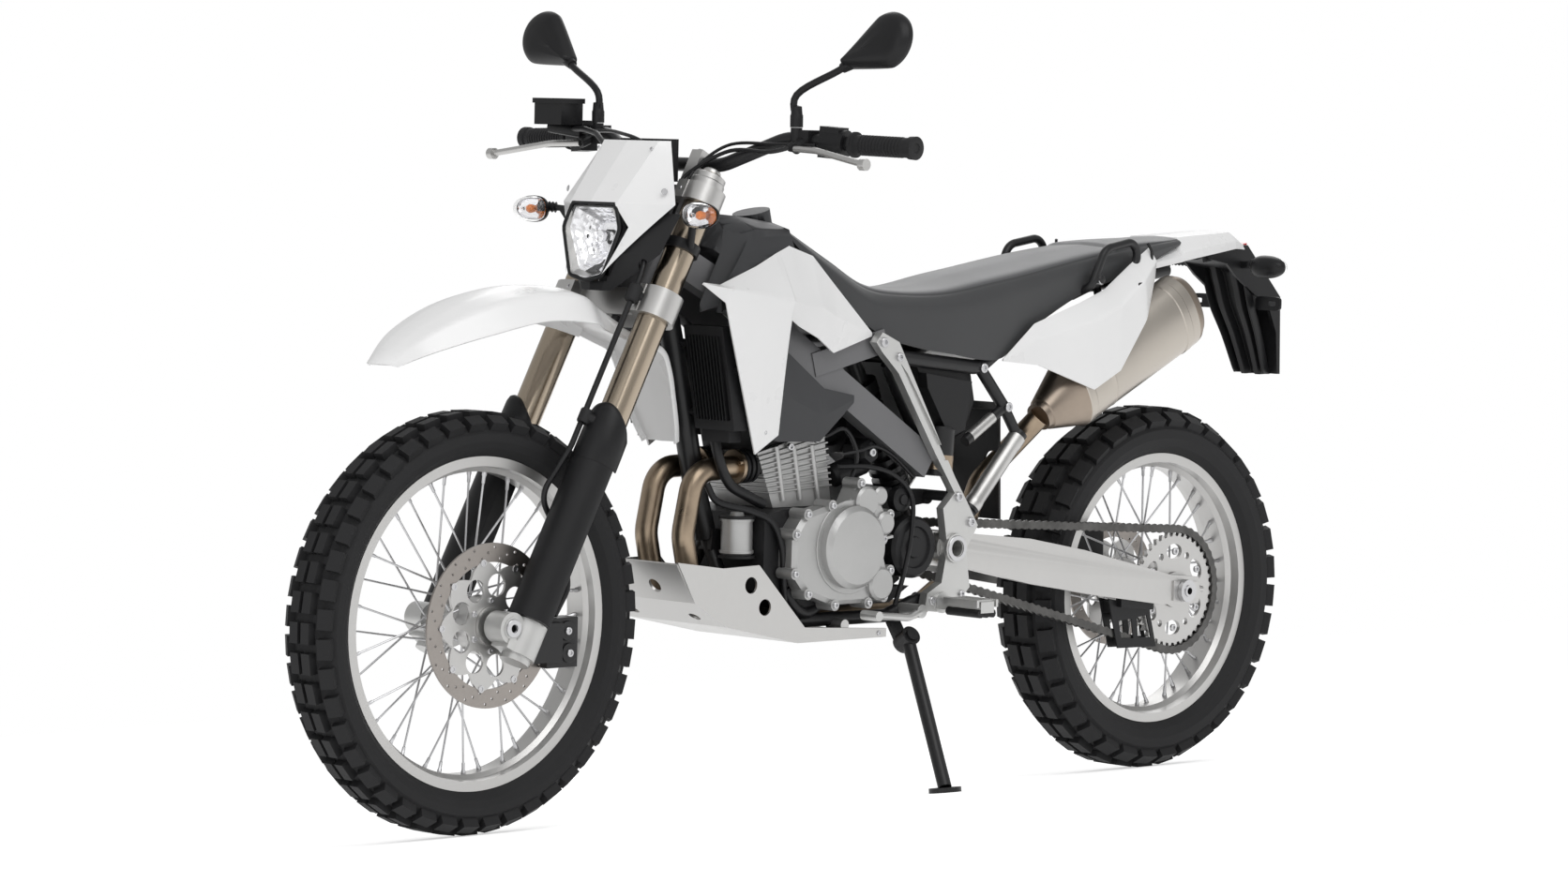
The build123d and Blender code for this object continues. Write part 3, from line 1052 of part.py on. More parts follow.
STAND_PIVOT = Vector(-85, 112, 262)
STAND_FOLDED = Vector(-0.985, 0.13, 0.05)     # the leg's direction when it is folded
STAND_R = 11
STAND_PIN_R = 6
STAND_EYE_R = 16
EYE_HALF = 12                                 # half the eye's width along its pin
EAR_THICK = 8
FOOT_THICK = 8
foot_top = on_floor(-30, 256, FOOT_THICK)
foot_low = on_floor(-30, 256)
leg_run = (foot_top - STAND_PIVOT).normalized()
PIN_RUN = leg_run.cross(STAND_FOLDED).normalized()
eye = rod(STAND_PIVOT - PIN_RUN * EYE_HALF, STAND_PIVOT + PIN_RUN * EYE_HALF, STAND_EYE_R)
pin_hole = rod(STAND_PIVOT - PIN_RUN * 40, STAND_PIVOT + PIN_RUN * 40, STAND_PIN_R + FIT)
ear_out = STAND_PIVOT - PIN_RUN * (EYE_HALF + FIT)
ear_in = ear_out - PIN_RUN * EAR_THICK
ear = rod(ear_in, ear_out, STAND_EYE_R)
ear_room = rod(ear_in - PIN_RUN * 30, ear_out + PIN_RUN * FIT, STAND_EYE_R + 6)
keep("side_stand", joined(rod(STAND_PIVOT, foot_top, STAND_R), rod(foot_low, foot_top, 26), eye,
                          less=[pin_hole, ear_room]))
# the ear's neck rises in the ear's own plane, then turns out to the cradle tube
ear_mid = ear_in + PIN_RUN * EAR_THICK / 2
level = Vector(1, 0, 0)
neck_run = PIN_RUN.cross(level).normalized()
neck_run = neck_run if neck_run.Z > 0 else neck_run * -1
eye_room = rod(ear_out, ear_out + PIN_RUN * 40, STAND_EYE_R + 4)
neck_top = ear_mid + neck_run * 46
neck_seat = Vector(-87, 87.5, 308)            # in the middle of the cradle tube
ear_neck = joined(beam(ear_mid, neck_top, 26, EAR_THICK), beam(neck_top, neck_seat, 26, EAR_THICK),
                  less=[eye_room])
stand_pin = rod(ear_in, STAND_PIVOT + PIN_RUN * (EYE_HALF + FIT + 3), STAND_PIN_R)
pin_head = rod(STAND_PIVOT + PIN_RUN * (EYE_HALF + FIT), STAND_PIVOT + PIN_RUN * (EYE_HALF + FIT + 4), 10)
keep("lower_frame", joined(lower_frame, ear, ear_neck, stand_pin, pin_head))
print("stand folds", leg_run.get_angle(STAND_FOLDED), "pin", PIN_RUN, "neck to", neck_top)
print("hose bends", hose_bends)

# ------------------------------------------------------------------ parking on the side stand
leaned = {name: piece.moved(LEANED) for name, piece in pieces.items()}
whole = Compound(list(leaned.values())).bounding_box()
home = Location((-whole.center().X, -whole.center().Y, -FLOOR))
os.makedirs("parts", exist_ok=True)
for name, piece in leaned.items():
    parked = piece.moved(home)
    parked.label = name
    export_step(parked, f"parts/{name}.step")
print("parked size", whole.size, "home", home.position)
for name, point in (("steer", STEER), ("front_axle", FRONT_AXLE), ("rear_axle", REAR_AXLE),
                    ("stand", STAND_PIVOT), ("pivot", Vector(PIVOT_X, 0, PIVOT_Z)),
                    ("grip_in", GRIP_IN), ("grip_end", GRIP_END), ("foot", foot_low)):
    spot = (Location(home.position) * LEANED * Location(point)).position
    print("place", name, round(spot.X, 4), round(spot.Y, 4), round(spot.Z, 4))
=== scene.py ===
# %% [markdown]
# # Dressing a dual sport motorcycle
#
# The solids of this motorcycle come in as a fixed frame: every one is in metres, already in place, and
# already hung on the body it moves with. This lesson gives each solid its finish and adds the shaped
# pieces that solids alone are too plain for: the padded seat, the curved covers, the glass and bolts.

# %% Load the frame
import json
import bpy
import numpy as np
from mathutils import Matrix

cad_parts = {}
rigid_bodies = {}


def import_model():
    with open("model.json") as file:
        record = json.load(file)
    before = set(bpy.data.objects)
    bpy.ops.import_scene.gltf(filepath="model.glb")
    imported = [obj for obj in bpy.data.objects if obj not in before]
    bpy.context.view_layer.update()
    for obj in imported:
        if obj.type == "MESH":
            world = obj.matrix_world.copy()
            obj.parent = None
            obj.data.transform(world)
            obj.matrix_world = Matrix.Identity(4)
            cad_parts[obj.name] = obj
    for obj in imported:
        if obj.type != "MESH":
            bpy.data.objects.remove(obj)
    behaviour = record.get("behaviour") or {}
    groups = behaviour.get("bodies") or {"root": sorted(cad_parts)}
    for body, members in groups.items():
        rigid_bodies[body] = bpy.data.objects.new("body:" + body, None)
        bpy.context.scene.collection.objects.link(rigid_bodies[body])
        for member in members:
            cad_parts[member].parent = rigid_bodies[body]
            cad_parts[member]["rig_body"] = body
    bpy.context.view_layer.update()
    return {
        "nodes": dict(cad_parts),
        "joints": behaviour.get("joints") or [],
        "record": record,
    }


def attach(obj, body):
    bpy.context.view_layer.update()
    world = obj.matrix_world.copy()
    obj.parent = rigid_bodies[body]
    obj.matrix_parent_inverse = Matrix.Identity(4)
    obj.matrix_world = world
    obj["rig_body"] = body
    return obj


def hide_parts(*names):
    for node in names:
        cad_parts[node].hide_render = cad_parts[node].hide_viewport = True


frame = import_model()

# %% [markdown]
# ## The upright machine and the parked one
#
# It is easier to think of the machine standing upright, with its wheels in the plane y = 0 and sizes in
# millimetres. The parked one leans on its stand. One rotation about the x axis and one shift carry
# every upright point to its parked place, and the rear wheel's joint tells how large the shift is.

# %% From upright millimetres to parked metres
PER_METRE = 1000                              # millimetres
LEAN = np.radians(8.0)
RAKE = np.radians(27.8)
REAR_AXLE = np.array([-762.5, 0.0, 308.0])
FRONT_AXLE = np.array([762.5, 0.0, 321.0])
lean_turn = np.array([
    [1, 0, 0],
    [0, np.cos(LEAN), np.sin(LEAN)],
    [0, -np.sin(LEAN), np.cos(LEAN)]])
joint_at = {joint["name"]: np.array(joint["pos_m"]) for joint in frame["joints"]}
home = joint_at["rear_wheel_spin"] - lean_turn @ REAR_AXLE / PER_METRE


def park(points):
    """Turn upright points by the lean about x, scale them to metres, and shift them home."""
    return np.asarray(points, float) @ lean_turn.T / PER_METRE + home


print("home", home.round(4), "front axle", park(FRONT_AXLE).round(4), joint_at["front_wheel_spin"])

# %% [markdown]
# ## Camera, floor and light
#
# The camera stands to the front left at about the height of the handlebar, with a long lens. Its place
# was worked out for the upright machine, so it takes the same turn and shift as everything else. The
# floor and backdrop look white to the camera, the glossy metal and the glass, while the lamps stay
# soft and plain, so that a colour renders about as it is written.

# %% Camera
EYE = np.array([6076.33, 6081.51, 1088.27])
YAW, PITCH, ROLL = -2.34801399, -0.0597104204, 0.0223580705
FOCAL_LENGTH, SENSOR_WIDTH = 123.06, 36       # millimetres
FARTHEST = 100                                # metres
ahead = np.array([np.cos(PITCH) * np.cos(YAW), np.cos(PITCH) * np.sin(YAW), np.sin(PITCH)])
flat_right = np.cross(ahead, [0, 0, 1])
flat_right /= np.linalg.norm(flat_right)
flat_up = np.cross(flat_right, ahead)
right = flat_right * np.cos(ROLL) + flat_up * np.sin(ROLL)
up = -flat_right * np.sin(ROLL) + flat_up * np.cos(ROLL)
camera = bpy.data.objects.new("camera", bpy.data.cameras.new("camera"))
bpy.context.scene.collection.objects.link(camera)
camera.data.lens = FOCAL_LENGTH
camera.data.sensor_width = SENSOR_WIDTH
camera.data.clip_end = FARTHEST
pose = np.eye(4)
pose[:3, :3] = lean_turn @ np.column_stack([right, up, -ahead])
pose[:3, 3] = park(EYE)
camera.matrix_world = Matrix(pose.tolist())
bpy.context.scene.camera = camera
bpy.context.scene.view_settings.view_transform = "Standard"
print("camera at", park(EYE).round(3))

# %% [markdown]
# ## A helper for nodes
#
# A world or a material is a small network of nodes. Blender's own calls take three lines to add one,
# fill in its sockets and link it. The helper below does that in one line, so a finish reads like a list.


# %% Node helper
class Nodes:
    """A small wrapper that adds nodes to one tree and links them as they are made."""

    def __init__(self, owner):
        owner.use_nodes = True
        self.tree = owner.node_tree
        self.tree.nodes.clear()

    def add(self, kind, values=(), links=(), **settings):
        """Add one node, set its options, its plain socket values and its incoming links."""
        node = self.tree.nodes.new(kind)
        for key, value in settings.items():
            setattr(node, key, value)
        for key, value in dict(values).items():
            node.inputs[key].default_value = value
        for key, socket in dict(links).items():
            self.tree.links.new(socket, node.inputs[key])
        return node


print("nodes are added with", Nodes.add.__doc__)

# %% Floor and backdrop
WHITE = (1, 1, 1, 1)
FLOOR_GREY = (0.93, 0.93, 0.93, 1)
FLOOR_HALF = 40.0                             # metres
FLOOR_GLOW = 0.5                              # what the floor adds to its own light, for the viewer alone
ROOM_LIGHT = 0.55                             # strength of the world's light on the machine


def white_to_viewer(nodes, shader):
    """The plain shader, plus a white glow that only camera, glossy and glass rays see."""
    rays = nodes.add("ShaderNodeLightPath")
    mirrored = nodes.add("ShaderNodeMath", operation="MAXIMUM",
                         links={0: rays.outputs["Is Glossy Ray"], 1: rays.outputs["Is Transmission Ray"]})
    seen = nodes.add("ShaderNodeMath", operation="MAXIMUM",
                     links={0: rays.outputs["Is Camera Ray"], 1: mirrored.outputs[0]})
    strength = nodes.add("ShaderNodeMath", {1: FLOOR_GLOW}, {0: seen.outputs[0]}, operation="MULTIPLY")
    white = nodes.add("ShaderNodeEmission", {"Color": WHITE}, {"Strength": strength.outputs[0]})
    return nodes.add("ShaderNodeAddShader", links={0: shader, 1: white.outputs[0]})


world = bpy.data.worlds.new("studio")
bpy.context.scene.world = world
sky = Nodes(world)
rays = sky.add("ShaderNodeLightPath")
clear = sky.add("ShaderNodeMath", operation="MAXIMUM",
                links={0: rays.outputs["Is Camera Ray"], 1: rays.outputs["Is Transmission Ray"]})
room = sky.add("ShaderNodeBackground", {"Color": WHITE, "Strength": ROOM_LIGHT})
white = sky.add("ShaderNodeBackground", {"Color": WHITE, "Strength": 1.0})
pick = sky.add("ShaderNodeMixShader", links={0: clear.outputs[0], 1: room.outputs[0], 2: white.outputs[0]})
sky.add("ShaderNodeOutputWorld", links={0: pick.outputs[0]})

floor_mesh = bpy.data.meshes.new("floor")
floor_mesh.from_pydata([(-FLOOR_HALF, -FLOOR_HALF, 0), (FLOOR_HALF, -FLOOR_HALF, 0),
                        (FLOOR_HALF, FLOOR_HALF, 0), (-FLOOR_HALF, FLOOR_HALF, 0)], [], [(0, 1, 2, 3)])
floor = bpy.data.objects.new("floor", floor_mesh)
bpy.context.scene.collection.objects.link(floor)
floor_paint = bpy.data.materials.new("floor_paint")
tree = Nodes(floor_paint)
matt = tree.add("ShaderNodeBsdfDiffuse", {"Color": FLOOR_GREY})
shown = white_to_viewer(tree, matt.outputs[0])
tree.add("ShaderNodeOutputMaterial", links={0: shown.outputs[0]})
floor_mesh.materials.append(floor_paint)
print("floor", 2 * FLOOR_HALF, "m wide")

# %% Three soft lamps
MACHINE_MIDDLE = np.array([0, 0, 0.55])


def lamp(name, at, size, power):
    """A square soft lamp that points at the middle of the machine."""
    data = bpy.data.lights.new(name, "AREA")
    data.shape = "SQUARE"
    data.size = size
    data.energy = power
    lamp_object = bpy.data.objects.new(name, data)
    bpy.context.scene.collection.objects.link(lamp_object)
    spot = np.array(at, float)
    back = spot - MACHINE_MIDDLE
    back /= np.linalg.norm(back)
    side = np.cross([0, 0, 1], back)
    side /= np.linalg.norm(side)
    frame_of_lamp = np.eye(4)
    frame_of_lamp[:3, :3] = np.column_stack([side, np.cross(back, side), back])
    frame_of_lamp[:3, 3] = spot
    lamp_object.matrix_world = Matrix(frame_of_lamp.tolist())


lamp("key", (1.0, 4.0, 4.4), 4.0, 110)
lamp("fill", (5.0, 2.0, 2.2), 3.5, 30)
lamp("rim", (-4.0, -3.0, 4.0), 3.5, 60)

# %% [markdown]
# ## Finishes
#
# A real surface is never one flat colour. Moulded plastic has a fine spark-eroded grain, cast alloy is
# pitted, brushed metal has long scratches, and rubber is dusty. Each finish below is a few noise
# patterns on the object's own coordinates: one varies the colour slowly, one varies the gloss, and a
# fine one raises and lowers the surface.

# %% One recipe for most finishes
NOISE_LOW, NOISE_HIGH = 0.3, 0.7              # most of a noise texture's values lie between these
BUMP_STRENGTH, BUMP_HEIGHT = 4, 0.002         # strength, and metres of height, for a bump of 1
CELL_WALL = 0.12                              # a cell's edge rises to its full height over this distance


def finish(name, colour, rough, metal=0.0, vary=0.06, patch=9.0, grain=900.0, bump=0.05, depth=0.0002,
           spread=0.08, stretch=(1, 1, 1), cells=False, **fixed):
    """Base colour varies by slow noise, roughness by the same noise, and height by a fine pattern.

    colour * (1 - vary .. 1 + vary) follows noise of patch waves a metre; height follows noise, or
    the distance to the nearest cell wall where cells is true, of grain waves a metre.
    """
    material = bpy.data.materials.new(name)
    nodes = Nodes(material)
    place = nodes.add("ShaderNodeTexCoord").outputs["Object"]
    slow = nodes.add("ShaderNodeTexNoise", {"Scale": patch, "Detail": 4.0, "Roughness": 0.6},
                     {"Vector": place})
    tint = nodes.add("ShaderNodeValToRGB", links={0: slow.outputs["Fac"]})
    low, high = tint.color_ramp.elements
    low.position, high.position = NOISE_LOW, NOISE_HIGH
    low.color = (*[c * (1 - vary) for c in colour], 1)
    high.color = (*[min(1.0, c * (1 + vary)) for c in colour], 1)
    gloss = nodes.add("ShaderNodeMapRange",
                      {"From Min": NOISE_LOW, "From Max": NOISE_HIGH,
                       "To Min": rough - spread / 2, "To Max": rough + spread / 2},
                      {"Value": slow.outputs["Fac"]})
    drawn = nodes.add("ShaderNodeMapping", {"Scale": stretch}, {"Vector": place})
    if cells:
        fine = nodes.add("ShaderNodeTexVoronoi", {"Scale": grain}, {"Vector": drawn.outputs[0]},
                         feature="DISTANCE_TO_EDGE")
        height = nodes.add("ShaderNodeMapRange", {"From Max": CELL_WALL}, {"Value": fine.outputs["Distance"]})
        height_out = height.outputs[0]
    else:
        fine = nodes.add("ShaderNodeTexNoise", {"Scale": grain, "Detail": 3.0}, {"Vector": drawn.outputs[0]})
        height_out = fine.outputs["Fac"]
    raised = nodes.add("ShaderNodeBump", {"Strength": min(1.0, bump * BUMP_STRENGTH),
                                          "Distance": depth + bump * BUMP_HEIGHT}, {"Height": height_out})
    shader = nodes.add("ShaderNodeBsdfPrincipled", {"Metallic": metal, **fixed},
                       {"Base Color": tint.outputs[0], "Roughness": gloss.outputs[0],
                        "Normal": raised.outputs[0]})
    nodes.add("ShaderNodeOutputMaterial", links={0: shader.outputs[0]})
    return material


print("a finish:", finish.__doc__.splitlines()[0])

# %% The machine's finishes
finishes = {
    "white_plastic": finish("gloss_white", (0.86, 0.86, 0.86), 0.30, vary=0.012, grain=260, bump=0.004,
                            depth=0.00002, **{"Coat Weight": 0.25, "Coat Roughness": 0.15}),
    "grey_plastic": finish("grained_grey", (0.042, 0.043, 0.046), 0.50, vary=0.08, grain=1600, bump=0.05,
                           depth=0.00006, **{"Specular IOR Level": 0.35}),
    "black_plastic": finish("satin_black", (0.012, 0.012, 0.013), 0.42, vary=0.10, grain=1500, bump=0.04,
                            depth=0.00005, **{"Specular IOR Level": 0.25}),
    "radiator_black": finish("radiator_black", (0.010, 0.010, 0.011), 0.5, vary=0.1, grain=700, bump=0.03,
                             **{"Specular IOR Level": 0.25}),
    "seat_vinyl": finish("seat_vinyl", (0.040, 0.041, 0.043), 0.55, vary=0.08, grain=560, bump=0.06,
                         depth=0.0001, cells=True, **{"Sheen Weight": 0.2, "Sheen Roughness": 0.4}),
    "frame_grey": finish("frame_paint", (0.16, 0.16, 0.165), 0.42, metal=0.35, vary=0.05, grain=900,
                         bump=0.02),
    "black_metal": finish("black_paint", (0.013, 0.013, 0.014), 0.36, vary=0.1, grain=500, bump=0.02,
                          **{"Specular IOR Level": 0.35}),
    "engine_black": finish("cast_black", (0.014, 0.014, 0.015), 0.55, vary=0.12, grain=420, bump=0.14,
                           **{"Specular IOR Level": 0.3}),
    "engine_silver": finish("cast_silver", (0.45, 0.45, 0.445), 0.44, metal=0.75, vary=0.08, grain=520,
                            bump=0.07, spread=0.14),
    "cast_alloy": finish("cast_alloy", (0.56, 0.56, 0.55), 0.42, metal=0.8, vary=0.07, grain=600, bump=0.06,
                         spread=0.12),
    "satin_alloy": finish("satin_alloy", (0.52, 0.515, 0.505), 0.36, metal=0.92, vary=0.05, grain=420,
                          bump=0.02, stretch=(0.06, 1, 1), spread=0.1),
    "fork_bronze": finish("fork_bronze", (0.38, 0.32, 0.25), 0.22, metal=1.0, vary=0.02, grain=380,
                          bump=0.002, depth=0.00002, spread=0.02),
    "exhaust_steel": finish("exhaust_steel", (0.46, 0.425, 0.38), 0.36, metal=1.0, vary=0.07, patch=5,
                            grain=700, bump=0.03, stretch=(0.05, 1, 1), spread=0.14),
    "header_bronze": finish("header_bronze", (0.33, 0.26, 0.19), 0.34, metal=1.0, vary=0.25, patch=14,
                            grain=500, bump=0.02, spread=0.16),
    "steel": finish("turned_steel", (0.52, 0.52, 0.53), 0.3, metal=1.0, vary=0.05, grain=700, bump=0.02),
    "chain_steel": finish("chain_steel", (0.10, 0.098, 0.095), 0.42, metal=0.9, vary=0.3, patch=40,
                          grain=900, bump=0.05),
    "disc_steel": finish("disc_steel", (0.32, 0.295, 0.275), 0.36, metal=1.0, vary=0.08, patch=30,
                         grain=900, bump=0.03),
    "tyre": finish("tyre_rubber", (0.015, 0.015, 0.016), 0.66, vary=0.15, patch=20, grain=700, bump=0.08,
                   **{"Specular IOR Level": 0.3}),
    "grip_rubber": finish("grip_rubber", (0.016, 0.016, 0.017), 0.6, vary=0.1, grain=900, bump=0.06,
                          **{"Specular IOR Level": 0.3}),
    "hose_rubber": finish("hose_rubber", (0.012, 0.012, 0.013), 0.38, vary=0.1, grain=900, bump=0.02,
                          **{"Specular IOR Level": 0.3}),
    "lamp_clear": finish("lamp_clear", (0.95, 0.95, 0.95), 0.04, vary=0.0, grain=140, bump=0.02,
                         spread=0.02, **{"Transmission Weight": 1.0, "IOR": 1.45}),
}
print("finishes", len(finishes))

# %% Put the finishes on the solids
slot_of = {part["node"]: part["material_slot"] for part in frame["record"]["subparts"]}


def dress(name, material):
    """Give a solid one finish in all its material slots."""
    mesh = frame["nodes"][name].data
    mesh.materials.clear()
    mesh.materials.append(material)


for name, node in frame["nodes"].items():
    dress(name, finishes[slot_of[name]])
print("dressed", len(slot_of))

# %% [markdown]
# ## Tools for shaped pieces
#
# Every new piece is a sheet of points laid out in rows and columns, worked out as whole arrays. A sheet
# can be closed one way to make a tube, or both ways to make a ring. Straight tables of measurements
# become soft shapes in two ways: a Catmull-Rom curve passes through every row, while repeated
# averaging rounds off the creases and leaves the ends alone.


# %% Grids and curves
def grid_quads(rows, columns, close_rows=False, close_columns=False):
    """Quads of a grid: each joins a point to the next in its row and to the two below them."""
    row = np.arange(rows if close_rows else rows - 1)[:, None]
    column = np.arange(columns if close_columns else columns - 1)[None, :]
    below, beside = (row + 1) % rows, (column + 1) % columns
    corners = [row * columns + column, row * columns + beside, below * columns + beside,
               below * columns + column]
    return np.stack(np.broadcast_arrays(*corners), -1).reshape(-1, 4)


def through(rows, per_span):
    """Catmull-Rom curve: each span is a cubic whose end slopes are half the step across its neighbours."""
    rows = np.asarray(rows, float)
    padded = np.concatenate([[2 * rows[0] - rows[1]], rows, [2 * rows[-1] - rows[-2]]])
    t = np.linspace(0, len(rows) - 1, (len(rows) - 1) * per_span + 1)
    start = np.minimum(t.astype(int), len(rows) - 2)
    u = (t - start).reshape(-1, *[1] * (rows.ndim - 1))
    a, b, c, d = (padded[start + n] for n in range(4))
    return 0.5 * (2 * b + (c - a) * u + (2 * a - 5 * b + 4 * c - d) * u ** 2
                  + (3 * b - a - 3 * c + d) * u ** 3)


def straight(rows, step):
    """Straight spans between rows, cut so that no step is longer than the given one."""
    rows = np.asarray(rows, float)
    longest = np.abs(np.diff(rows.reshape(len(rows), -1), axis=0)).max(1)
    cuts = np.maximum(1, np.ceil(longest / step).astype(int))
    index = np.concatenate([n + np.arange(cut) / cut for n, cut in enumerate(cuts)] + [[len(rows) - 1]])
    low = np.minimum(index.astype(int), len(rows) - 2)
    share = (index - low).reshape(-1, *[1] * (rows.ndim - 1))
    return rows[low] * (1 - share) + rows[low + 1] * share


def straight_across(grid, step):
    """The same along the columns of a grid."""
    return np.swapaxes(straight(np.swapaxes(grid, 0, 1), step), 0, 1)


def soften(values, passes, axis=0):
    """Each pass replaces a value by a quarter, a half and a quarter of itself and its neighbours."""
    values = np.moveaxis(np.array(values, float), axis, 0)
    for _ in range(passes):
        values[1:-1] = values[1:-1] * 0.5 + (values[:-2] + values[2:]) * 0.25
    return np.moveaxis(values, 0, axis)


print("a grid of 3 rows closed across has", len(grid_quads(3, 4, close_columns=True)), "quads")


# %% Sides, facing and joining
def both_sides(points, quads):
    """Add the mirror image across y = 0, with its faces wound the other way."""
    points = points.reshape(-1, 3)
    return np.vstack([points, points * [1, -1, 1]]), np.vstack([quads, quads[:, ::-1] + len(points)])


def outwards(points, quads, facing=None):
    """Turn all faces if a sheet's area looks away from facing, or a closed mesh's volume is below 0."""
    points = points.reshape(-1, 3)
    a, b, c, d = (points[quads[:, n]] for n in (0, 1, -2, -1))
    area = np.cross(c - a, d - b)
    total = (area * (a + c)).sum() if facing is None else (area @ np.array(facing, float)).sum()
    return quads if total > 0 else quads[:, ::-1]


def sheet(grid, facing):
    """An open grid of points as one mesh that looks the given way."""
    return grid.reshape(-1, 3), outwards(grid, grid_quads(*grid.shape[:2]), facing)


def ringed(rings, facing=None):
    """A stack of closed rings as one mesh."""
    return rings.reshape(-1, 3), outwards(rings, grid_quads(*rings.shape[:2], close_columns=True), facing)


def joined(*parts):
    """Put several (points, quads) together as one mesh."""
    points, quads, count = [], [], 0
    for part_points, part_quads in parts:
        part_points = np.asarray(part_points, float).reshape(-1, 3)
        points.append(part_points)
        quads.append(np.asarray(part_quads) + count)
        count += len(part_points)
    return np.vstack(points), np.vstack(quads)


print("two sheets of one quad, joined:", joined(*[([[0, 0, 0]] * 4, [[0, 1, 2, 3]])] * 2)[1].tolist())


# %% Putting a mesh on its body
def put(name, points, quads, body, slot, sharp=40, material=None, replaces=()):
    """Make a mesh from upright points in millimetres, park it, and let it ride on a body."""
    mesh = bpy.data.meshes.new(name)
    mesh.from_pydata(park(np.asarray(points).reshape(-1, 3)).tolist(), [], np.asarray(quads).tolist())
    mesh.materials.append(material or finishes[slot])
    mesh.shade_smooth()
    mesh.set_sharp_from_angle(angle=np.radians(sharp))
    made = bpy.data.objects.new(name, mesh)
    bpy.context.scene.collection.objects.link(made)
    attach(made, body)
    if replaces:
        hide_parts(*replaces)
    return made


def thicken(made, wall, bevel=0.0):
    """Give a sheet its wall on the inner side, and round the wall's edges."""
    solid = made.modifiers.new("wall", "SOLIDIFY")
    solid.thickness = wall / PER_METRE
    solid.offset = -1
    if bevel:
        rounding = made.modifiers.new("edge", "BEVEL")
        rounding.width = bevel / PER_METRE
        rounding.segments = 2
        rounding.limit_method = "ANGLE"
        rounding.angle_limit = np.radians(50)


print("a mesh goes to its body through put()")

# %% [markdown]
# ## Turned shapes and tubes
#
# Most small parts are turned on a lathe or bent from tube. A turned shape is a profile of radii at
# distances along a line, and a tube is one circle carried along a path. Both end in a ring so small
# that it closes the shape, because a true point would leave faces with no area.

# %% Turned shapes and tubes
POLE = 0.1                                    # radius of the closing ring, in millimetres


def frame_along(start, end, hint=(0, 0, 1)):
    """Three unit vectors for a line: two square to it, the second as near the hint as can be, and its own."""
    run = np.asarray(end, float) - np.asarray(start, float)
    run /= np.linalg.norm(run)
    side = np.cross(hint, run)
    side /= np.linalg.norm(side)
    return side, np.cross(run, side), run


def turned(start, end, profile, around=32, hint=(0, 0, 1)):
    """A profile of (distance along, radius) turned about the line from start to end."""
    side, rise, run = frame_along(start, end, hint)
    profile = np.asarray(profile, float)
    turn = np.arange(around) * 2 * np.pi / around
    ring = np.cos(turn)[:, None] * side + np.sin(turn)[:, None] * rise
    points = np.asarray(start, float) + profile[:, :1, None] * run + profile[:, 1:, None] * ring
    return ringed(points)


def spindle(start, end, *profile, around=32, hint=(0, 0, 1)):
    """A turned solid: flat ends are added by a closing ring before its first point and after its last."""
    ends = (profile[0][0], POLE), (profile[-1][0], POLE)
    return turned(start, end, [ends[0], *profile, ends[1]], around, hint)


def tube(path, radius, around=16):
    """A round section carried along a path; each ring is square to the path.

    hint = the axis that the path follows least, side = run x hint, rise = side x run,
    point = path + radius (cos side + sin rise).
    """
    path = np.asarray(path, float)
    run = np.gradient(path, axis=0)
    run /= np.linalg.norm(run, axis=1, keepdims=True)
    hint = np.eye(3)[np.argmin(np.abs(run).mean(0))]
    side = np.cross(run, hint)
    side /= np.linalg.norm(side, axis=1, keepdims=True)
    rise = np.cross(side, run)
    turn = np.arange(around) * 2 * np.pi / around
    ring = np.cos(turn)[:, None] * side[:, None] + np.sin(turn)[:, None] * rise[:, None]
    points = path[:, None] + radius * ring
    first, last = path[:1, None], path[-1:, None]
    return ringed(np.concatenate([first + 0.01 * (points[:1] - first), points,
                                  last + 0.01 * (points[-1:] - last)]))


print("a plain pin has", len(spindle((0, 0, 0), (0, 20, 0), (0, 5), (20, 5))[0]), "points")

# %% [markdown]
# ## Cast and machined solids get rounded edges
#
# A solid from the frame has perfectly sharp edges, and a real casting or folded plate never has: its
# edges catch a thin line of light. A copy of the solid is merged into one surface, its flat facets are
# joined, and a small bevel rounds every edge that is sharper than the given angle. Moulded covers, whose
# creases are faint, get a smaller angle than castings.

# %% Reading and cutting a solid's mesh
import bmesh


def upright_corners(mesh):
    """The three corners of every triangle in upright millimetres: park() read backwards."""
    spots = np.empty(3 * len(mesh.vertices))
    mesh.vertices.foreach_get("co", spots)
    corners = np.empty(len(mesh.loops), int)
    mesh.loops.foreach_get("vertex_index", corners)
    return ((spots.reshape(-1, 3) - home) * PER_METRE @ lean_turn)[corners].reshape(-1, 3, 3)


def trimmed(work, point, direction):
    """Cut away what lies past a plane, and close the cut."""
    cut = bmesh.ops.bisect_plane(work, geom=work.verts[:] + work.edges[:] + work.faces[:], dist=1e-6,
                                 plane_co=park(point), plane_no=np.array(direction) @ lean_turn.T,
                                 clear_outer=True)["geom_cut"]
    bmesh.ops.triangle_fill(work, use_beauty=True,
                            edges=[part for part in cut if isinstance(part, bmesh.types.BMEdge)])


print("corners of one wheel's disc", upright_corners(frame["nodes"]["front_disc"].data).shape)

# %% Round the edges of the rigid solids
SAME_SPOT = 0.00001                           # metres; corners nearer than this become one
FLAT_WITHIN = 1.0                             # degrees; facets that differ by less become one face


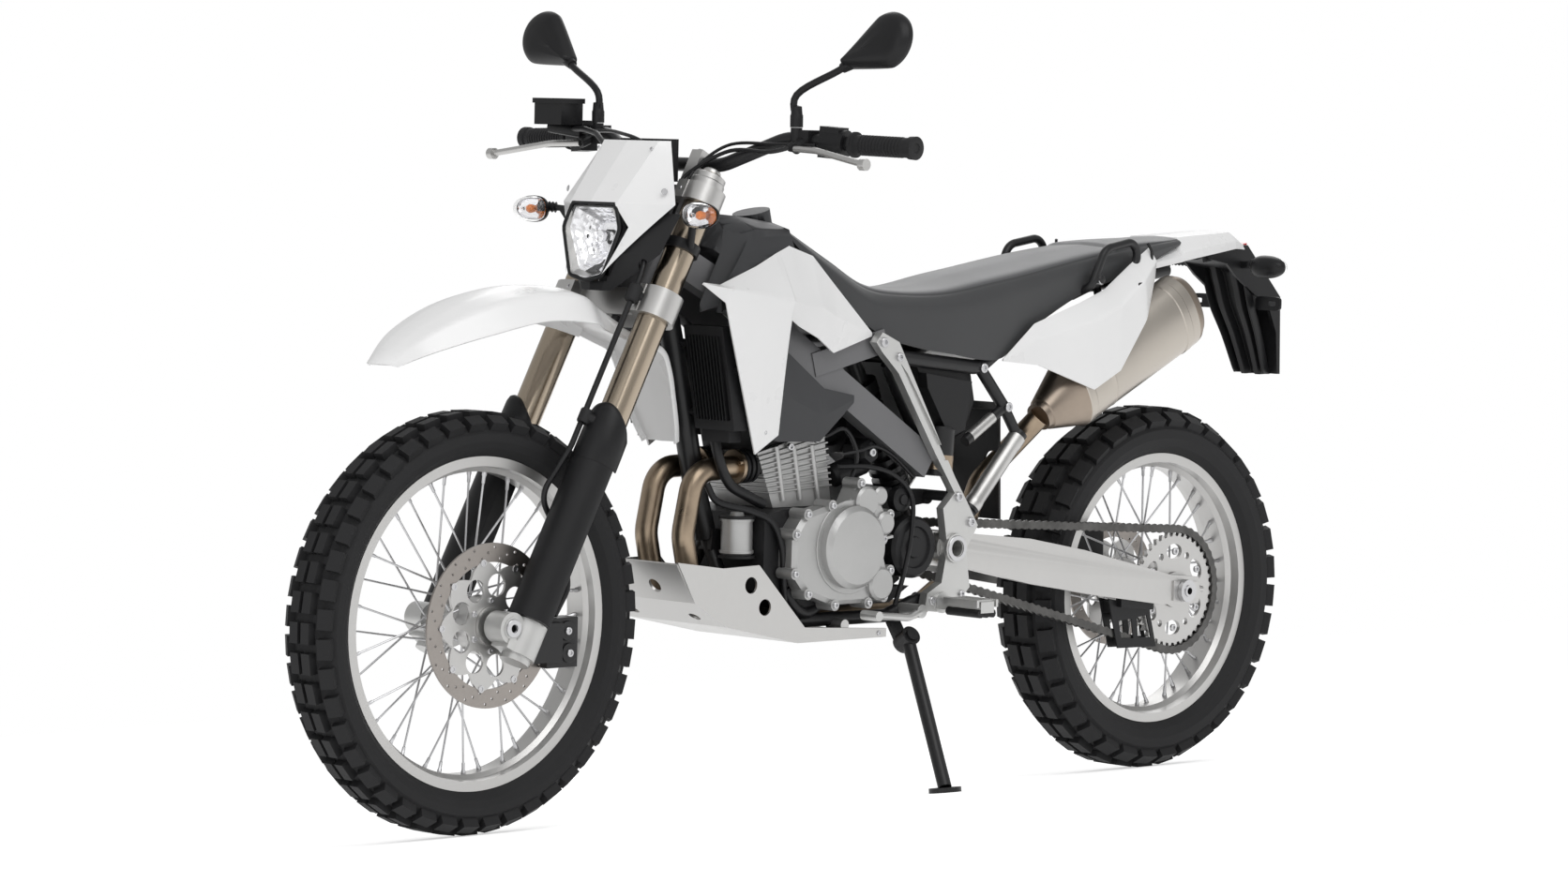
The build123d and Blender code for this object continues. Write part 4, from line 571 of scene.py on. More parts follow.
def rounded(node, width, angle=32, leave_out=None, trim=None):
    """Replace a solid by its merged copy, its sharp edges bevelled by a width in millimetres."""
    source = frame["nodes"][node]
    made = bpy.data.objects.new(node + "_rounded", source.data.copy())
    work = bmesh.new()
    work.from_mesh(made.data)
    if leave_out is not None:
        out = leave_out(upright_corners(source.data))
        bmesh.ops.delete(work, geom=[face for face, gone in zip(work.faces, out) if gone], context="FACES")
    bmesh.ops.remove_doubles(work, verts=work.verts, dist=SAME_SPOT)
    bmesh.ops.dissolve_limit(work, angle_limit=np.radians(FLAT_WITHIN), verts=work.verts, edges=work.edges)
    if trim is not None:
        trimmed(work, *trim)
    work.to_mesh(made.data)
    work.free()
    made.data.materials.clear()
    made.data.materials.append(finishes[slot_of[node]])
    made.data.shade_smooth()
    made.data.set_sharp_from_angle(angle=np.radians(angle))
    bpy.context.scene.collection.objects.link(made)
    edge = made.modifiers.new("edge", "BEVEL")
    edge.width = width / PER_METRE
    edge.segments = 2
    edge.limit_method = "ANGLE"
    edge.angle_limit = np.radians(angle)
    edge.use_clamp_overlap = True
    edge.harden_normals = True
    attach(made, source["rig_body"])
    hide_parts(node)


BEVEL = {                                     # width of the rounding in millimetres
    "side_plates": 3.0, "frame_spars": 4.0, "engine_case": 3.0, "cylinder_head": 2.0, "swingarm": 3.5,
    "bash_plate": 1.0, "lower_clamp": 1.5, "upper_clamp": 1.5, "fork_lugs": 2.0, "engine_covers": 1.2,
    "cylinder": 1.0, "front_caliper": 2.0, "rear_caliper": 2.0, "chain_guide": 0.6, "plate_holder": 1.2,
    "foot_controls": 1.0, "hand_controls": 1.2, "tank_cover": 4.0, "airbox": 1.0, "instrument": 3.0,
    "fork_guards": 1.0, "inner_shrouds": 1.0}
for node, width in BEVEL.items():
    rounded(node, width)
print("rounded", len(BEVEL))

# %% [markdown]
# ## White covers
#
# The tank shrouds, side covers and tail are thin mouldings: flat faces that meet in soft creases, with
# a rolled edge. Each table below holds the outer surface at a few stations along the machine, from the
# top edge over the crease to the lower edge. Straight spans keep the outline crisp, and only the
# sideways coordinate is averaged, so the faces blend while the edges stay in place.

# %% A creased panel from stations
PANEL_STEP = 5.0                              # longest side of a panel's quad, in millimetres
COVER_WALL, COVER_EDGE = 3.5, 1.0             # its wall, and the rounding of the wall's edge


def creased(stations):
    """x and height follow straight spans; the sideways value is averaged once each way."""
    table = np.array([[[x, y, z] for y, z in rows] for x, *rows in stations], float)
    table = straight_across(straight(table, PANEL_STEP), PANEL_STEP)
    table[..., 1] = soften(soften(table[..., 1], 1, 0), 1, 1)
    return table


def stud(x, z, radius, inner, outer):
    """A round mounting stud across the machine."""
    return spindle((x, inner, z), (x, outer, z), (0, radius), (outer - inner, radius), hint=(1, 0, 0))


def cover_pair(name, stations, node, studs):
    """A left panel with its mounting studs, and its mirror image, standing for one node."""
    skin = sheet(creased(stations), (0, 1, 0))
    made = put(name, *both_sides(*skin), "root", "white_plastic", sharp=60, replaces=[node])
    thicken(made, COVER_WALL, COVER_EDGE)
    put(name + "_studs", *both_sides(*joined(*[stud(*row) for row in studs])), "root", "black_plastic")


# %% Tank shrouds
# x, then (across, height) at the top edge, the crease and the lower edge
SHROUD = [
    (412, (141, 838), (142, 836), (141, 834)),
    (363, (126, 834), (146, 829), (140, 806)),
    (276, (116, 862), (149, 818), (122, 569)),
    (228, (111, 882), (150, 809), (124, 598)),
    (222, (110, 884), (150, 808), (140, 780)),
    (198, (108, 893), (146, 801), (134, 768)),
    (142, (105, 877), (131, 798), (122, 748)),
    (98, (105, 837), (118, 782), (112, 724)),
    (5, (104, 755), (104.5, 752), (104, 749))]
cover_pair("tank_shrouds", SHROUD, "shrouds", [(314, 700, 8, 114, 130)])

# %% Side covers
SIDE_COVER = [
    (-292, (113, 709), (113.5, 707), (113, 705)),
    (-364, (114, 766), (126, 738), (124, 698)),
    (-472, (114, 799), (148, 768), (152, 657)),
    (-531, (113, 820), (152, 792), (156, 688)),
    (-600, (108, 862), (144, 838), (150, 772)),
    (-658, (98, 890), (116, 868), (114, 842))]
cover_pair("side_skins", SIDE_COVER, "side_covers", [(-372, 738, 8, 74, 122), (-590, 826, 7, 50, 144)])

# %% [markdown]
# ## Front mask and its neighbours
#
# The mask is a thin moulding too, but its slices are level ones, and it has a window for the lamp, so a
# softly bevelled copy of its solid is the simplest way. Two things are mended on the copies: the mask's
# cheeks end on a slanted plane that runs down to the lamp's foot, and the walls that cross the lamp's
# hollow are left out, so that the bright bowl can be seen.

# %% Directions of the fork
STEER = (joint_at["steering"] - home) * PER_METRE @ lean_turn
AHEAD = np.array([np.cos(RAKE), 0, np.sin(RAKE)])
UPFORK = np.array([-np.sin(RAKE), 0, np.cos(RAKE)])
LEFT, FRONT, UP = (0, 1, 0), (1, 0, 0), (0, 0, 1)


def fork(ahead, across, up):
    """A point in the fork's own directions: square to, across and up the steering axis."""
    return STEER + AHEAD * ahead + np.array([0.0, across, 0.0]) + UPFORK * up


print("steering axis foot", STEER.round(1))

# %% Mask, lamp housing and tail
HOLLOW_MIDDLE = np.array([500, 0, 900])
HOLLOW_DEEP, HOLLOW_HIGH = 13.6, 48           # half of its depth and of its height
HOLLOW_WIDE = [852, 918, 948], [31, 56, 40]   # half of its width, at these heights
FACES_AHEAD = 0.85                            # least share of a face's direction that points ahead
CHEEK_CUT = (462, 127, 956), (-0.8367, 0, -0.5477)


def inside_lamp(corners):
    """True where a triangle is a wall across the hollow: its middle is in there, and it faces ahead."""
    facing = np.cross(corners[:, 1] - corners[:, 0], corners[:, 2] - corners[:, 0])
    ahead = np.abs(facing[:, 0]) > FACES_AHEAD * np.linalg.norm(facing, axis=1)
    middle = corners.mean(axis=1)
    wide = np.interp(middle[:, 2], *HOLLOW_WIDE)
    reach = np.stack([0 * wide + HOLLOW_DEEP, wide, 0 * wide + HOLLOW_HIGH], 1)
    return ahead & (np.abs(middle - HOLLOW_MIDDLE) < reach).all(axis=1)


rounded("headlight_mask", 1.8, angle=14, trim=CHEEK_CUT)
rounded("tail_cover", 3.0, angle=14)
rounded("lamp_housing", 1.2, angle=14, leave_out=inside_lamp)

# %% [markdown]
# ## Fender
#
# The fender is a new sheet: its sections run across, with a flat crown, two shoulders and turned-down
# edges, and a smooth curve joins them. Behind the fork it goes on as a flap with two narrow side walls.

# %% Crown of the fender
# x, height of the crown, height of the edges, half width
FENDER = np.array([(955, 716, 711, 34), (880, 768, 736, 66), (790, 808, 760, 86), (690, 828, 780, 98),
                   (600, 826, 776, 100), (545, 804, 764, 68), (490, 776, 748, 56)], float)
FENDER_ACROSS = np.array([[-1, -0.74, -0.28, 0, 0.28, 0.74, 1]])      # shares of the half width
FENDER_FALL = np.array([[1, 0.2, 0, -0.02, 0, 0.2, 1]])               # shares of the way to the edge's height
TIP_FROM, TIP_LONG, TIP_BACK = 860, 95, 24    # where the tip's rounding starts, its length, and its depth
FENDER_WALL = 3
rows = through(FENDER, 12)
crown, edge, half = (rows[:, n:n + 1] for n in (1, 2, 3))
grid = np.stack([rows[:, :1] + 0 * FENDER_ACROSS, half * FENDER_ACROSS,
                 crown - (crown - edge) * FENDER_FALL], -1)
grid = soften(straight_across(grid, 5), 3, 1)
tip = np.clip((grid[..., 0] - TIP_FROM) / TIP_LONG, 0, 1)
grid[..., 0] -= TIP_BACK * tip ** 2 * (grid[..., 1] / rows[:, 3:4]) ** 2
fender_top = sheet(grid, UP)
print("fender crown", grid.shape)


# %% Flap behind the wheel
def down_the_middle(stations, per_span):
    """Rows of (x, height, half width) as a curve: its rows, its middle line, and a direction square to it."""
    rows = through(stations, per_span)
    along = np.gradient(rows[:, :2], axis=0)
    along /= np.linalg.norm(along, axis=1, keepdims=True)
    square = np.stack([-along[:, 1], 0 * along[:, 0], along[:, 0]], 1)[:, None]
    return rows, np.stack([rows[:, 0], 0 * rows[:, 0], rows[:, 1]], 1)[:, None], square


def swept_section(stations, per_span, share, depth):
    """A section of (share of the half width, depth) carried along the middle line."""
    rows, middle, square = down_the_middle(stations, per_span)
    share, depth = np.array(share)[None, :, None], np.array(depth)[None, :, None]
    return middle + share * rows[:, None, 2:] * np.array([0, 1, 0]) + depth * square


FLAP = np.array([(528, 783, 52), (492, 764, 57), (455, 750, 60), (415, 733, 62), (396, 700, 60),
                 (381, 653, 55), (368, 615, 48), (357, 587, 38)], float)          # x, height, half width
grid = swept_section(FLAP, 8, [-1, -1, -0.5, 0, 0.5, 1, 1], [12, 0, 0, 1.5, 0, 0, 12])
grid = soften(straight_across(grid, 4), 2, 1)
fender_flap = sheet(grid, (-1, 0, 0.3))
fender = put("fender_skin", *joined(fender_top, fender_flap), "steering", "white_plastic", sharp=70,
             replaces=["front_fender"])
thicken(fender, FENDER_WALL, 0.9)
MOUNT_TOP, MOUNT_LONG = 561 - 22, 19          # the lower clamp's under side, and down from there
mounts = [spindle(fork(24, side * 22, MOUNT_TOP - MOUNT_LONG), fork(24, side * 22, MOUNT_TOP),
                  (0, 9), (MOUNT_LONG, 9), around=20, hint=LEFT) for side in (-1, 1)]
put("fender_mounts", *joined(*mounts), "steering", "black_plastic")

# %% [markdown]
# ## Headlamp
#
# Behind the clear front of a lamp sit a bright bowl, pressed into facets, and a bulb with a small cap
# that hides its glare. The lamp's outline is a six-sided figure with eased corners. Drawing the outline
# in towards its middle gives the rings of the bowl, and a shallow dome gives the glass.

# %% Rings of the lamp's outline
LENS_X = 517
LENS_MIDDLE = np.array([0.0, 905.0])
LENS = [(-47, 955), (47, 955), (62, 918), (36, 846), (0, 838), (-36, 846), (-62, 918)]   # (across, height)
LENS_LEAN = -0.13                             # the glass leans back with height, as the mask does
outline = straight(LENS + LENS[:1], 6)[:-1] - LENS_MIDDLE
outline = 0.5 * outline + 0.25 * (np.roll(outline, 1, 0) + np.roll(outline, -1, 0))


def drawn_in(shares, x, lean=0.0):
    """Rings of the lamp's outline: each is the outline times a share, at its own x plus lean times height."""
    shares, x = np.broadcast_arrays(np.asarray(shares, float), np.asarray(x, float))
    flat = LENS_MIDDLE + shares[:, None, None] * outline
    return np.concatenate([x[:, None, None] + lean * (flat[..., 1:] - LENS_MIDDLE[1]), flat], -1)


print("lamp outline points", len(outline))

# %% Glass and faceted bowl
DOME = 5                                      # how far the glass bulges
BOWL_FRONT, BOWL_DEEP, BOWL_FOOT = 512.5, 36, 477
FACET = 1.6                                   # height of the bowl's facets
share = np.linspace(1, 0.01, 14)
glass = drawn_in(share, LENS_X + 3 + DOME * (1 - share ** 2), LENS_LEAN)
thicken(put("lamp_glass", *ringed(glass, FRONT), "steering", "lamp_clear", replaces=["headlight_lens"]), 2.0)
depth = np.linspace(0, 1, 22)
bowl = drawn_in(0.875 - 0.48 * depth, BOWL_FRONT - BOWL_DEEP * depth)
around = np.arange(len(outline)) * 2 * np.pi / len(outline)
bowl[..., 0] += FACET * np.abs(np.sin(around * 9))[None] * np.abs(np.sin(np.pi * depth * 3))[:, None]
bowl = np.concatenate([bowl, drawn_in([0.2, 0.01], [BOWL_FOOT, BOWL_FOOT])])
MIRROR = finish("lamp_mirror", (0.88, 0.88, 0.9), 0.12, metal=1.0, vary=0.0, grain=200, bump=0.0)
put("lamp_bowl", *ringed(bowl, FRONT), "steering", "satin_alloy", sharp=12, material=MIRROR)
print("bowl", bowl.shape)

# %% Rim, bulb and its cap
rim = np.concatenate([drawn_in([1.0, 0.95], [LENS_X + 1, LENS_X - 1], LENS_LEAN),
                      drawn_in([0.875], [BOWL_FRONT])])
put("lamp_rim", *ringed(rim, FRONT), "steering", "satin_alloy", sharp=20)
bulb = turned((474, 0, 905), (500, 0, 905),
              [(0, 14), (3, 14), (3, 7), (14, 8), (20, 7), (24, 4), (26, POLE)], 24)
put("lamp_bulb", *bulb, "steering", "lamp_clear")
cap = turned((494, 0, 905), (503, 0, 905), [(0, 7), (0, 9.5), (6, 9), (9, POLE)], 24)
put("lamp_cap", *cap, "steering", "satin_alloy", material=MIRROR)
print("bulb and cap made")


# %% A closed band round the glass
def loop_tube(path, radius, around=10):
    """A round section carried along a closed path: a ring in rows, closed both ways."""
    path = np.asarray(path, float)
    run = np.roll(path, -1, 0) - np.roll(path, 1, 0)
    run /= np.linalg.norm(run, axis=1, keepdims=True)
    hint = np.cross(run, np.roll(run, -1, 0)).sum(0)
    hint /= np.linalg.norm(hint)
    side = np.cross(run, hint)
    side /= np.linalg.norm(side, axis=1, keepdims=True)
    turn = np.arange(around) * 2 * np.pi / around
    points = path[:, None] + radius * (np.cos(turn)[:, None] * side[:, None] + np.sin(turn)[:, None] * hint)
    return points.reshape(-1, 3), outwards(points, grid_quads(len(path), around, True, True))


seal = loop_tube(drawn_in([1.03], [LENS_X + 3], LENS_LEAN)[0], 3.0)
put("lamp_seal", *seal, "steering", "black_plastic")
print("seal", len(seal[0]), "points")

# %% [markdown]
# ## Indicators
#
# Each indicator is an egg on a ribbed rubber stalk. One half is a clear cover over an amber bulb, the
# other a black housing, with a bright bowl inside the front ones. All of these are the same outline,
# drawn in towards the tip along a rounded profile, so one function makes them.

# %% Eggs and stalks
AMBER = finish("amber_bulb", (0.85, 0.22, 0.02), 0.25, vary=0.0, grain=300, bump=0.0)
RED = finish("red_lens", (0.50, 0.008, 0.012), 0.14, vary=0.05, grain=300, bump=0.03,
             **{"Coat Weight": 0.5})
SQUARENESS = 0.85                             # below 1 the egg's outline is fuller than an ellipse
NARROWING = 0.16                              # how much lower the egg is at its outer end
ROUNDING = 2.4                                # above 2 the egg's side is fuller than a ball's
GLASS_WALL = 1.8


def half_egg(middle, out, reach, long, high):
    """Half an egg: an outline |y/long|, |z/high| drawn in as the root of 1 - t^2.4 while x grows to reach."""
    turn = np.linspace(0, 2 * np.pi, 48, endpoint=False)
    y = long * np.sign(np.cos(turn)) * np.abs(np.cos(turn)) ** SQUARENESS
    z = high * np.sign(np.sin(turn)) * np.abs(np.sin(turn)) ** SQUARENESS * (1 - NARROWING * np.cos(turn))
    t = np.sin(np.linspace(0, np.pi / 2, 12))
    inward = np.maximum(1 - t ** ROUNDING, 0) ** (1 / ROUNDING)
    rings = np.stack([np.broadcast_to(reach * t[:, None], (12, 48)), out * inward[:, None] * y,
                      inward[:, None] * z], -1) + np.asarray(middle, float)
    return ringed(rings, (reach, 0, 0))


def ribbed_stalk(start, end):
    """A rubber stalk: its radius swells and narrows five times along it."""
    length = np.linalg.norm(np.subtract(end, start))
    t = np.linspace(0, 1, 60)
    profile = np.stack([t * length, 7.5 + 1.1 * np.cos(t * 10 * np.pi)], 1)
    return spindle(start, end, *profile, around=24)


print("finishes of the lamps", AMBER.name, RED.name)

# %% Front indicators
FRONT_BLINKER = np.array([471.0, 193.0, 942.0])


def front_indicator(side, name):
    """Glass ahead, case behind, a bowl and a bulb between them, and an arm to the fork's lug."""
    flip = np.array([1, side, 1])
    middle = FRONT_BLINKER * flip
    cover = put("front_blinker_glass_" + name, *half_egg(middle, side, 18, 35, 19.5), "steering",
                "lamp_clear", replaces=["front_indicators"])
    thicken(cover, GLASS_WALL)
    put("front_blinker_case_" + name, *half_egg(middle, side, -17, 36, 20.4), "steering", "black_plastic")
    inside, quads = half_egg(middle + [-1, 0, 0], side, -9, 33, 17.6)
    put("front_blinker_bowl_" + name, inside, quads[:, ::-1], "steering", "satin_alloy", material=MIRROR)
    bulb = turned(middle + [-6, 0, 0], middle + [8, 0, 0],
                  [(0, POLE), (0, 6), (8, 7), (12, 5), (14, POLE)], 20)
    put("front_blinker_bulb_" + name, *bulb, "steering", "lamp_clear", material=AMBER)
    arm = tube(np.array([fork(26, 121.5, 663), (444, 150, 944), (455, 168, 945)]) * flip, 6.0, 14)
    stalk = ribbed_stalk(np.array([450, 158, 945]) * flip, np.array([464, 182, 947]) * flip)
    put("front_blinker_arm_" + name, *joined(arm, stalk), "steering", "black_plastic")


print("front indicators at", FRONT_BLINKER)

# %% Rear indicators
REAR_BLINKER = np.array([-932.0, 130.0, 857.0])


def rear_indicator(side, name):
    """The same, with its glass towards the rear, and an arm to the tail."""
    flip = np.array([1, side, 1])
    middle = REAR_BLINKER * flip
    cover = put("rear_blinker_glass_" + name, *half_egg(middle, side, -19, 35, 18.5), "root", "lamp_clear",
                replaces=["rear_lamps"])
    thicken(cover, GLASS_WALL)
    put("rear_blinker_case_" + name, *half_egg(middle, side, 21, 36, 19.4), "root", "black_plastic")
    bulb = turned(middle + [6, 0, 0], middle + [-9, 0, 0],
                  [(0, POLE), (0, 7), (9, 8), (13, 5), (15, POLE)], 20)
    put("rear_blinker_bulb_" + name, *bulb, "root", "lamp_clear", material=AMBER)
    arm = tube(np.array([(-956, 48, 858), (-946, 88, 860), (-940, 112, 861)]) * flip, 6.5, 14)
    stalk = ribbed_stalk(np.array([-950, 74, 860]) * flip, np.array([-941, 106, 861]) * flip)
    put("rear_blinker_arm_" + name, *joined(arm, stalk), "root", "black_plastic")


for side, name in ((1, "left"), (-1, "right")):
    front_indicator(side, name)
    rear_indicator(side, name)
print("rear indicators at", REAR_BLINKER)


# %% Tail lamp
def shut(rings, share=0.01):
    """Close a stack of rings: a copy of each end ring is drawn in to its middle."""
    first, last = (rings[n].mean(0) for n in (0, -1))
    return np.concatenate([(rings[0] * share + first * (1 - share))[None], rings,
                           (rings[-1] * share + last * (1 - share))[None]])


TAIL_LAMP = np.array([(-958, 892), (-962, 876), (-984, 872), (-986, 896)], float)        # (x, height)
EASE = np.array([[-34, 0.6], [-33, 0.9], [-30, 1], [30, 1], [33, 0.9], [34, 0.6]])        # across, share
flat = TAIL_LAMP.mean(0) + (TAIL_LAMP - TAIL_LAMP.mean(0))[None] * EASE[:, 1, None, None]
rings = shut(np.stack([flat[..., 0], np.broadcast_to(EASE[:, :1], flat.shape[:2]), flat[..., 1]], -1))
put("tail_lamp", *ringed(rings), "root", "lamp_clear", sharp=50, material=RED)
print("tail lamp", rings.shape)

# %% [markdown]
# ## Muffler
#
# The muffler is an oval can: a spun cone at its front, a long brushed body with raised bands, and a
# folded end cap with a short outlet. All of it is one profile of (distance, half width, half height)
# carried along a slanted line. The cone and the end cap were heated more, so they are browner.

# %% Cone, can and end cap
MUFFLER_FRONT, MUFFLER_REAR = np.array([-393.0, 94.0, 606.0]), np.array([-756.0, 96.0, 792.0])
CONE = [(8, POLE, POLE), (8, 23, 23), (18, 24, 24.5), (20, 26, 28), (86, 41.5, 57), (92, 43, 60)]
CAN = [(92, 43, 60), (94, 44, 61), (108, 44, 61), (110, 43, 60.2), (160, 43.2, 60.8), (161.5, 43.9, 61.5),
       (163, 43.2, 60.8), (350, 44.6, 64.4), (352, 45.8, 65.6), (366, 46, 65.8), (368, 44.8, 64.8),
       (386, 45, 65)]
CAP = [(386, 45, 65), (394, 44, 63.5), (405, 39, 56), (408, 34, 50), (408, 18.5, 19), (414, 18, 18),
       (414, 16, 16), (370, 16, 16), (370, POLE, POLE)]
OVAL = 0.9                                    # below 1 the section is fuller than an ellipse


def oval_body(profile, around=72):
    """Rings about the muffler's line: middle + half width cos across + half height sin upwards."""
    side, rise, run = frame_along(MUFFLER_FRONT, MUFFLER_REAR)
    profile = straight(np.array(profile, float), 16)
    turn = np.arange(around) * 2 * np.pi / around
    wide, high = (np.sign(wave) * np.abs(wave) ** OVAL for wave in (np.cos(turn), np.sin(turn)))
    rings = (MUFFLER_FRONT + profile[:, None, :1] * run + profile[:, None, 1:2] * wide[:, None] * side
             + profile[:, None, 2:] * high[:, None] * rise)
    return rings, grid_quads(len(profile), around, close_columns=True)


TINTED = finish("tinted_steel", (0.30, 0.25, 0.205), 0.38, metal=1.0, vary=0.16, patch=10, grain=700,
                bump=0.03, stretch=(0.05, 1, 1), spread=0.14)
whole, quads = oval_body(CONE + CAN[1:] + CAP[1:])
as_wound = (outwards(whole, quads) == quads).all()
for name, profile, material in (("muffler_cone", CONE, TINTED), ("muffler_can", CAN, None),
                                ("muffler_cap", CAP, TINTED)):
    rings, quads = oval_body(profile)
    put(name, rings, quads if as_wound else quads[:, ::-1], "root", "exhaust_steel", sharp=25,
        material=material, replaces=["muffler"])
print("muffler wound outwards as it is:", as_wound)

# %% [markdown]
# ## Seat
#
# The seat is one moulded foam block under a stretched cover: a smooth top, painted a lighter grey than
# the vinyl as painted light where light falls on it, darker side panels in the vinyl's own colour, and a
# step up to the passenger's place. It is drawn as an upside-down trough. The outer skin is
# averaged across, so that the shoulders are round, and the inner skin is the same shape drawn in. A
# narrow groove follows the seam between the top and the sides.

# %% Outer skin of the seat
# x, then the left half's (across, height) points from the top middle down
SEAT = [
    (150, (0, 923), (44, 921), (58, 912), (60, 905)),
    (60, (0, 878), (58, 870), (84, 846), (90, 806)),
    (-10, (0, 838), (68, 832), (96, 806), (98, 756)),
    (-85, (0, 824), (78, 820), (100, 800), (102, 733)),
    (-180, (0, 826), (86, 822), (106, 800), (106, 718)),
    (-290, (0, 845), (94, 840), (108, 815), (104, 708)),
    (-364, (0, 858), (94, 852), (104, 825), (100, 752)),
    (-500, (0, 881), (88, 875), (98, 852), (92, 812)),
    (-640, (0, 897), (76, 893), (88, 876), (86, 850)),
    (-778, (0, 906), (56, 903), (64, 897), (62, 893))]
SEAT_FRONT, SEAT_REAR = 150, -778
SEAT_CUTS = 28                                # rows in each span between two stations
SEAT_STEP = 3.2                               # widest quad across
SEAT_PASSES = 26                              # rounds of averaging for the shoulders
table = through(np.array([[[x, y, z] for y, z in rows] for x, *rows in SEAT], float), SEAT_CUTS)
table[0, :, 0], table[-1, :, 0] = SEAT_FRONT, SEAT_REAR
half = straight_across(table, SEAT_STEP)
whole = np.concatenate([half[:, ::-1], half[:, 1:] * [1, -1, 1]], 1)
whole[:, 2:-2] = soften(whole, SEAT_PASSES, 1)[:, 2:-2]
print("outer skin", whole.shape)

# %% Seam and step
SEAM_STATION, SEAM_Y = 5, 97                  # the seam's place across, at the widest station
GROOVE_DEEP, GROOVE_WIDE = 1.5, 1.1           # millimetres, and columns
STEP_X, STEP_HIGH, STEP_FADE = -596, 4.0, 150
DIP_X, DIP_DEEP, DIP_WIDE = -592, 2.2, 5
columns = whole.shape[1]
from_middle = np.abs(np.arange(columns) - columns // 2)
seam_at = int(np.argmin(np.abs(half[SEAM_STATION * SEAT_CUTS, :, 1] - SEAM_Y)))
groove = np.exp(-((from_middle - seam_at) / GROOVE_WIDE) ** 2) * GROOVE_DEEP
rise = STEP_HIGH / (1 + np.exp((whole[..., 0] - STEP_X) / 4))
fade = STEP_HIGH * np.clip((STEP_X - whole[..., 0]) / STEP_FADE, 0, 1)
dip = DIP_DEEP * np.exp(-((whole[..., 0] - DIP_X) / DIP_WIDE) ** 2)
whole[..., 2] += (rise - fade - dip) * (from_middle < seam_at)
middle = np.stack([whole[..., 0], 0 * whole[..., 0], whole[:, :1, 2] + 0 * whole[..., 2]], -1)
towards = (middle - whole) * [0, 1, 1]
towards /= np.maximum(np.linalg.norm(towards, axis=-1, keepdims=True), 1e-6)
whole += towards * groove[None, :, None]
print("seam column", seam_at, "of", columns)

# %% Inner skin, ends and cushion
FOAM = 40                                     # thickness of the foam at the top
low, high = whole[:, :1, 2:], whole[:, columns // 2:columns // 2 + 1, 2:]
share = np.clip((high - low - FOAM) / np.maximum(high - low, 1), 0.1, 1)
inner = np.concatenate([whole[..., :1], whole[..., 1:2] * 0.93, low + (whole[..., 2:] - low) * share], -1)
inner[..., 0] = np.clip(inner[..., 0], SEAT_REAR + 6, SEAT_FRONT - 6)
rings = np.concatenate([whole, inner[:, ::-1]], 1)
seat_quads = grid_quads(*rings.shape[:2], close_columns=True)
ends = []
for row in (0, len(rings) - 1):
    first = row * rings.shape[1] + np.arange(columns - 1)
    last = row * rings.shape[1] + rings.shape[1] - 1 - np.arange(columns - 1)
    end = np.stack([first, first + 1, last - 1, last], 1)
    ends.append(end if row else end[:, ::-1])
seat_quads = np.vstack([seat_quads, *ends])
seat = put("seat_cushion", rings, outwards(rings, seat_quads), "root", "seat_vinyl", sharp=60,
           replaces=["seat"])
print("seat quads", len(seat_quads))

# %% Seat top painted lighter, as painted light
# Painted light: the top faces get a lighter grey than the side vinyl, standing for the light that falls on
# the top.
SEAT_PAINTED_LIGHT = finish("seat_top_painted_light", (0.075, 0.076, 0.080), 0.5, vary=0.06, grain=420, bump=0.05, depth=0.0001,
                  cells=True, **{"Sheen Weight": 0.25, "Sheen Roughness": 0.4})
seat.data.materials.append(SEAT_PAINTED_LIGHT)
column = np.asarray(seat_quads)[:, 0] % rings.shape[1]
painted_light_top = (np.abs(column - columns // 2) < seam_at) & (column < columns)
seat.data.polygons.foreach_set("material_index", painted_light_top.astype(np.int32))
print("top faces", int(painted_light_top.sum()))

# %% [markdown]
# ## Bolts, caps and clips
#
# A machine looks real when its joints look fastened. A socket head is one small profile: a cylinder with
# an eased rim and a sunk middle. Bolts that sit on one body share a mesh, so that they move with it.

# %% Socket heads and washers
SUNK = 0.5                                    # a head starts this far inside what it holds


def square_hint(out):
    """A hint that isn't along the part's own direction."""
    return UP if abs(out[2]) < 0.8 else FRONT


def bolt(at, out, radius=6.0, high=5.0):
    """A socket head: out to the radius, up to the height, in to half the radius, and down the socket."""
    out = np.array(out, float) / np.linalg.norm(out)
    profile = [(-SUNK, POLE), (-SUNK, radius), (high - 0.8, radius), (high, radius - 0.8),
               (high, radius * 0.52), (high * 0.45, radius * 0.5), (high * 0.45, POLE)]
    return turned(at, np.add(at, out), profile, 14, square_hint(out))


def washer(at, out, radius, high, hole):
    """A flat ring with eased edges."""
    profile = [(-SUNK, hole), (-SUNK, radius), (high - 0.7, radius), (high, radius - 0.7), (high, hole),
               (-SUNK, hole)]
    return turned(at, np.add(at, out), profile, 36, square_hint(out))


def sides(rows):
    """Every row as it is, and its mirror image on the right."""
    return [(np.multiply(at, [1, side, 1]), np.multiply(out, [1, side, 1]), *rest)
            for side in (1, -1) for at, out, *rest in rows]


print("a socket head has", len(bolt((0, 0, 0), LEFT)[0]), "points")

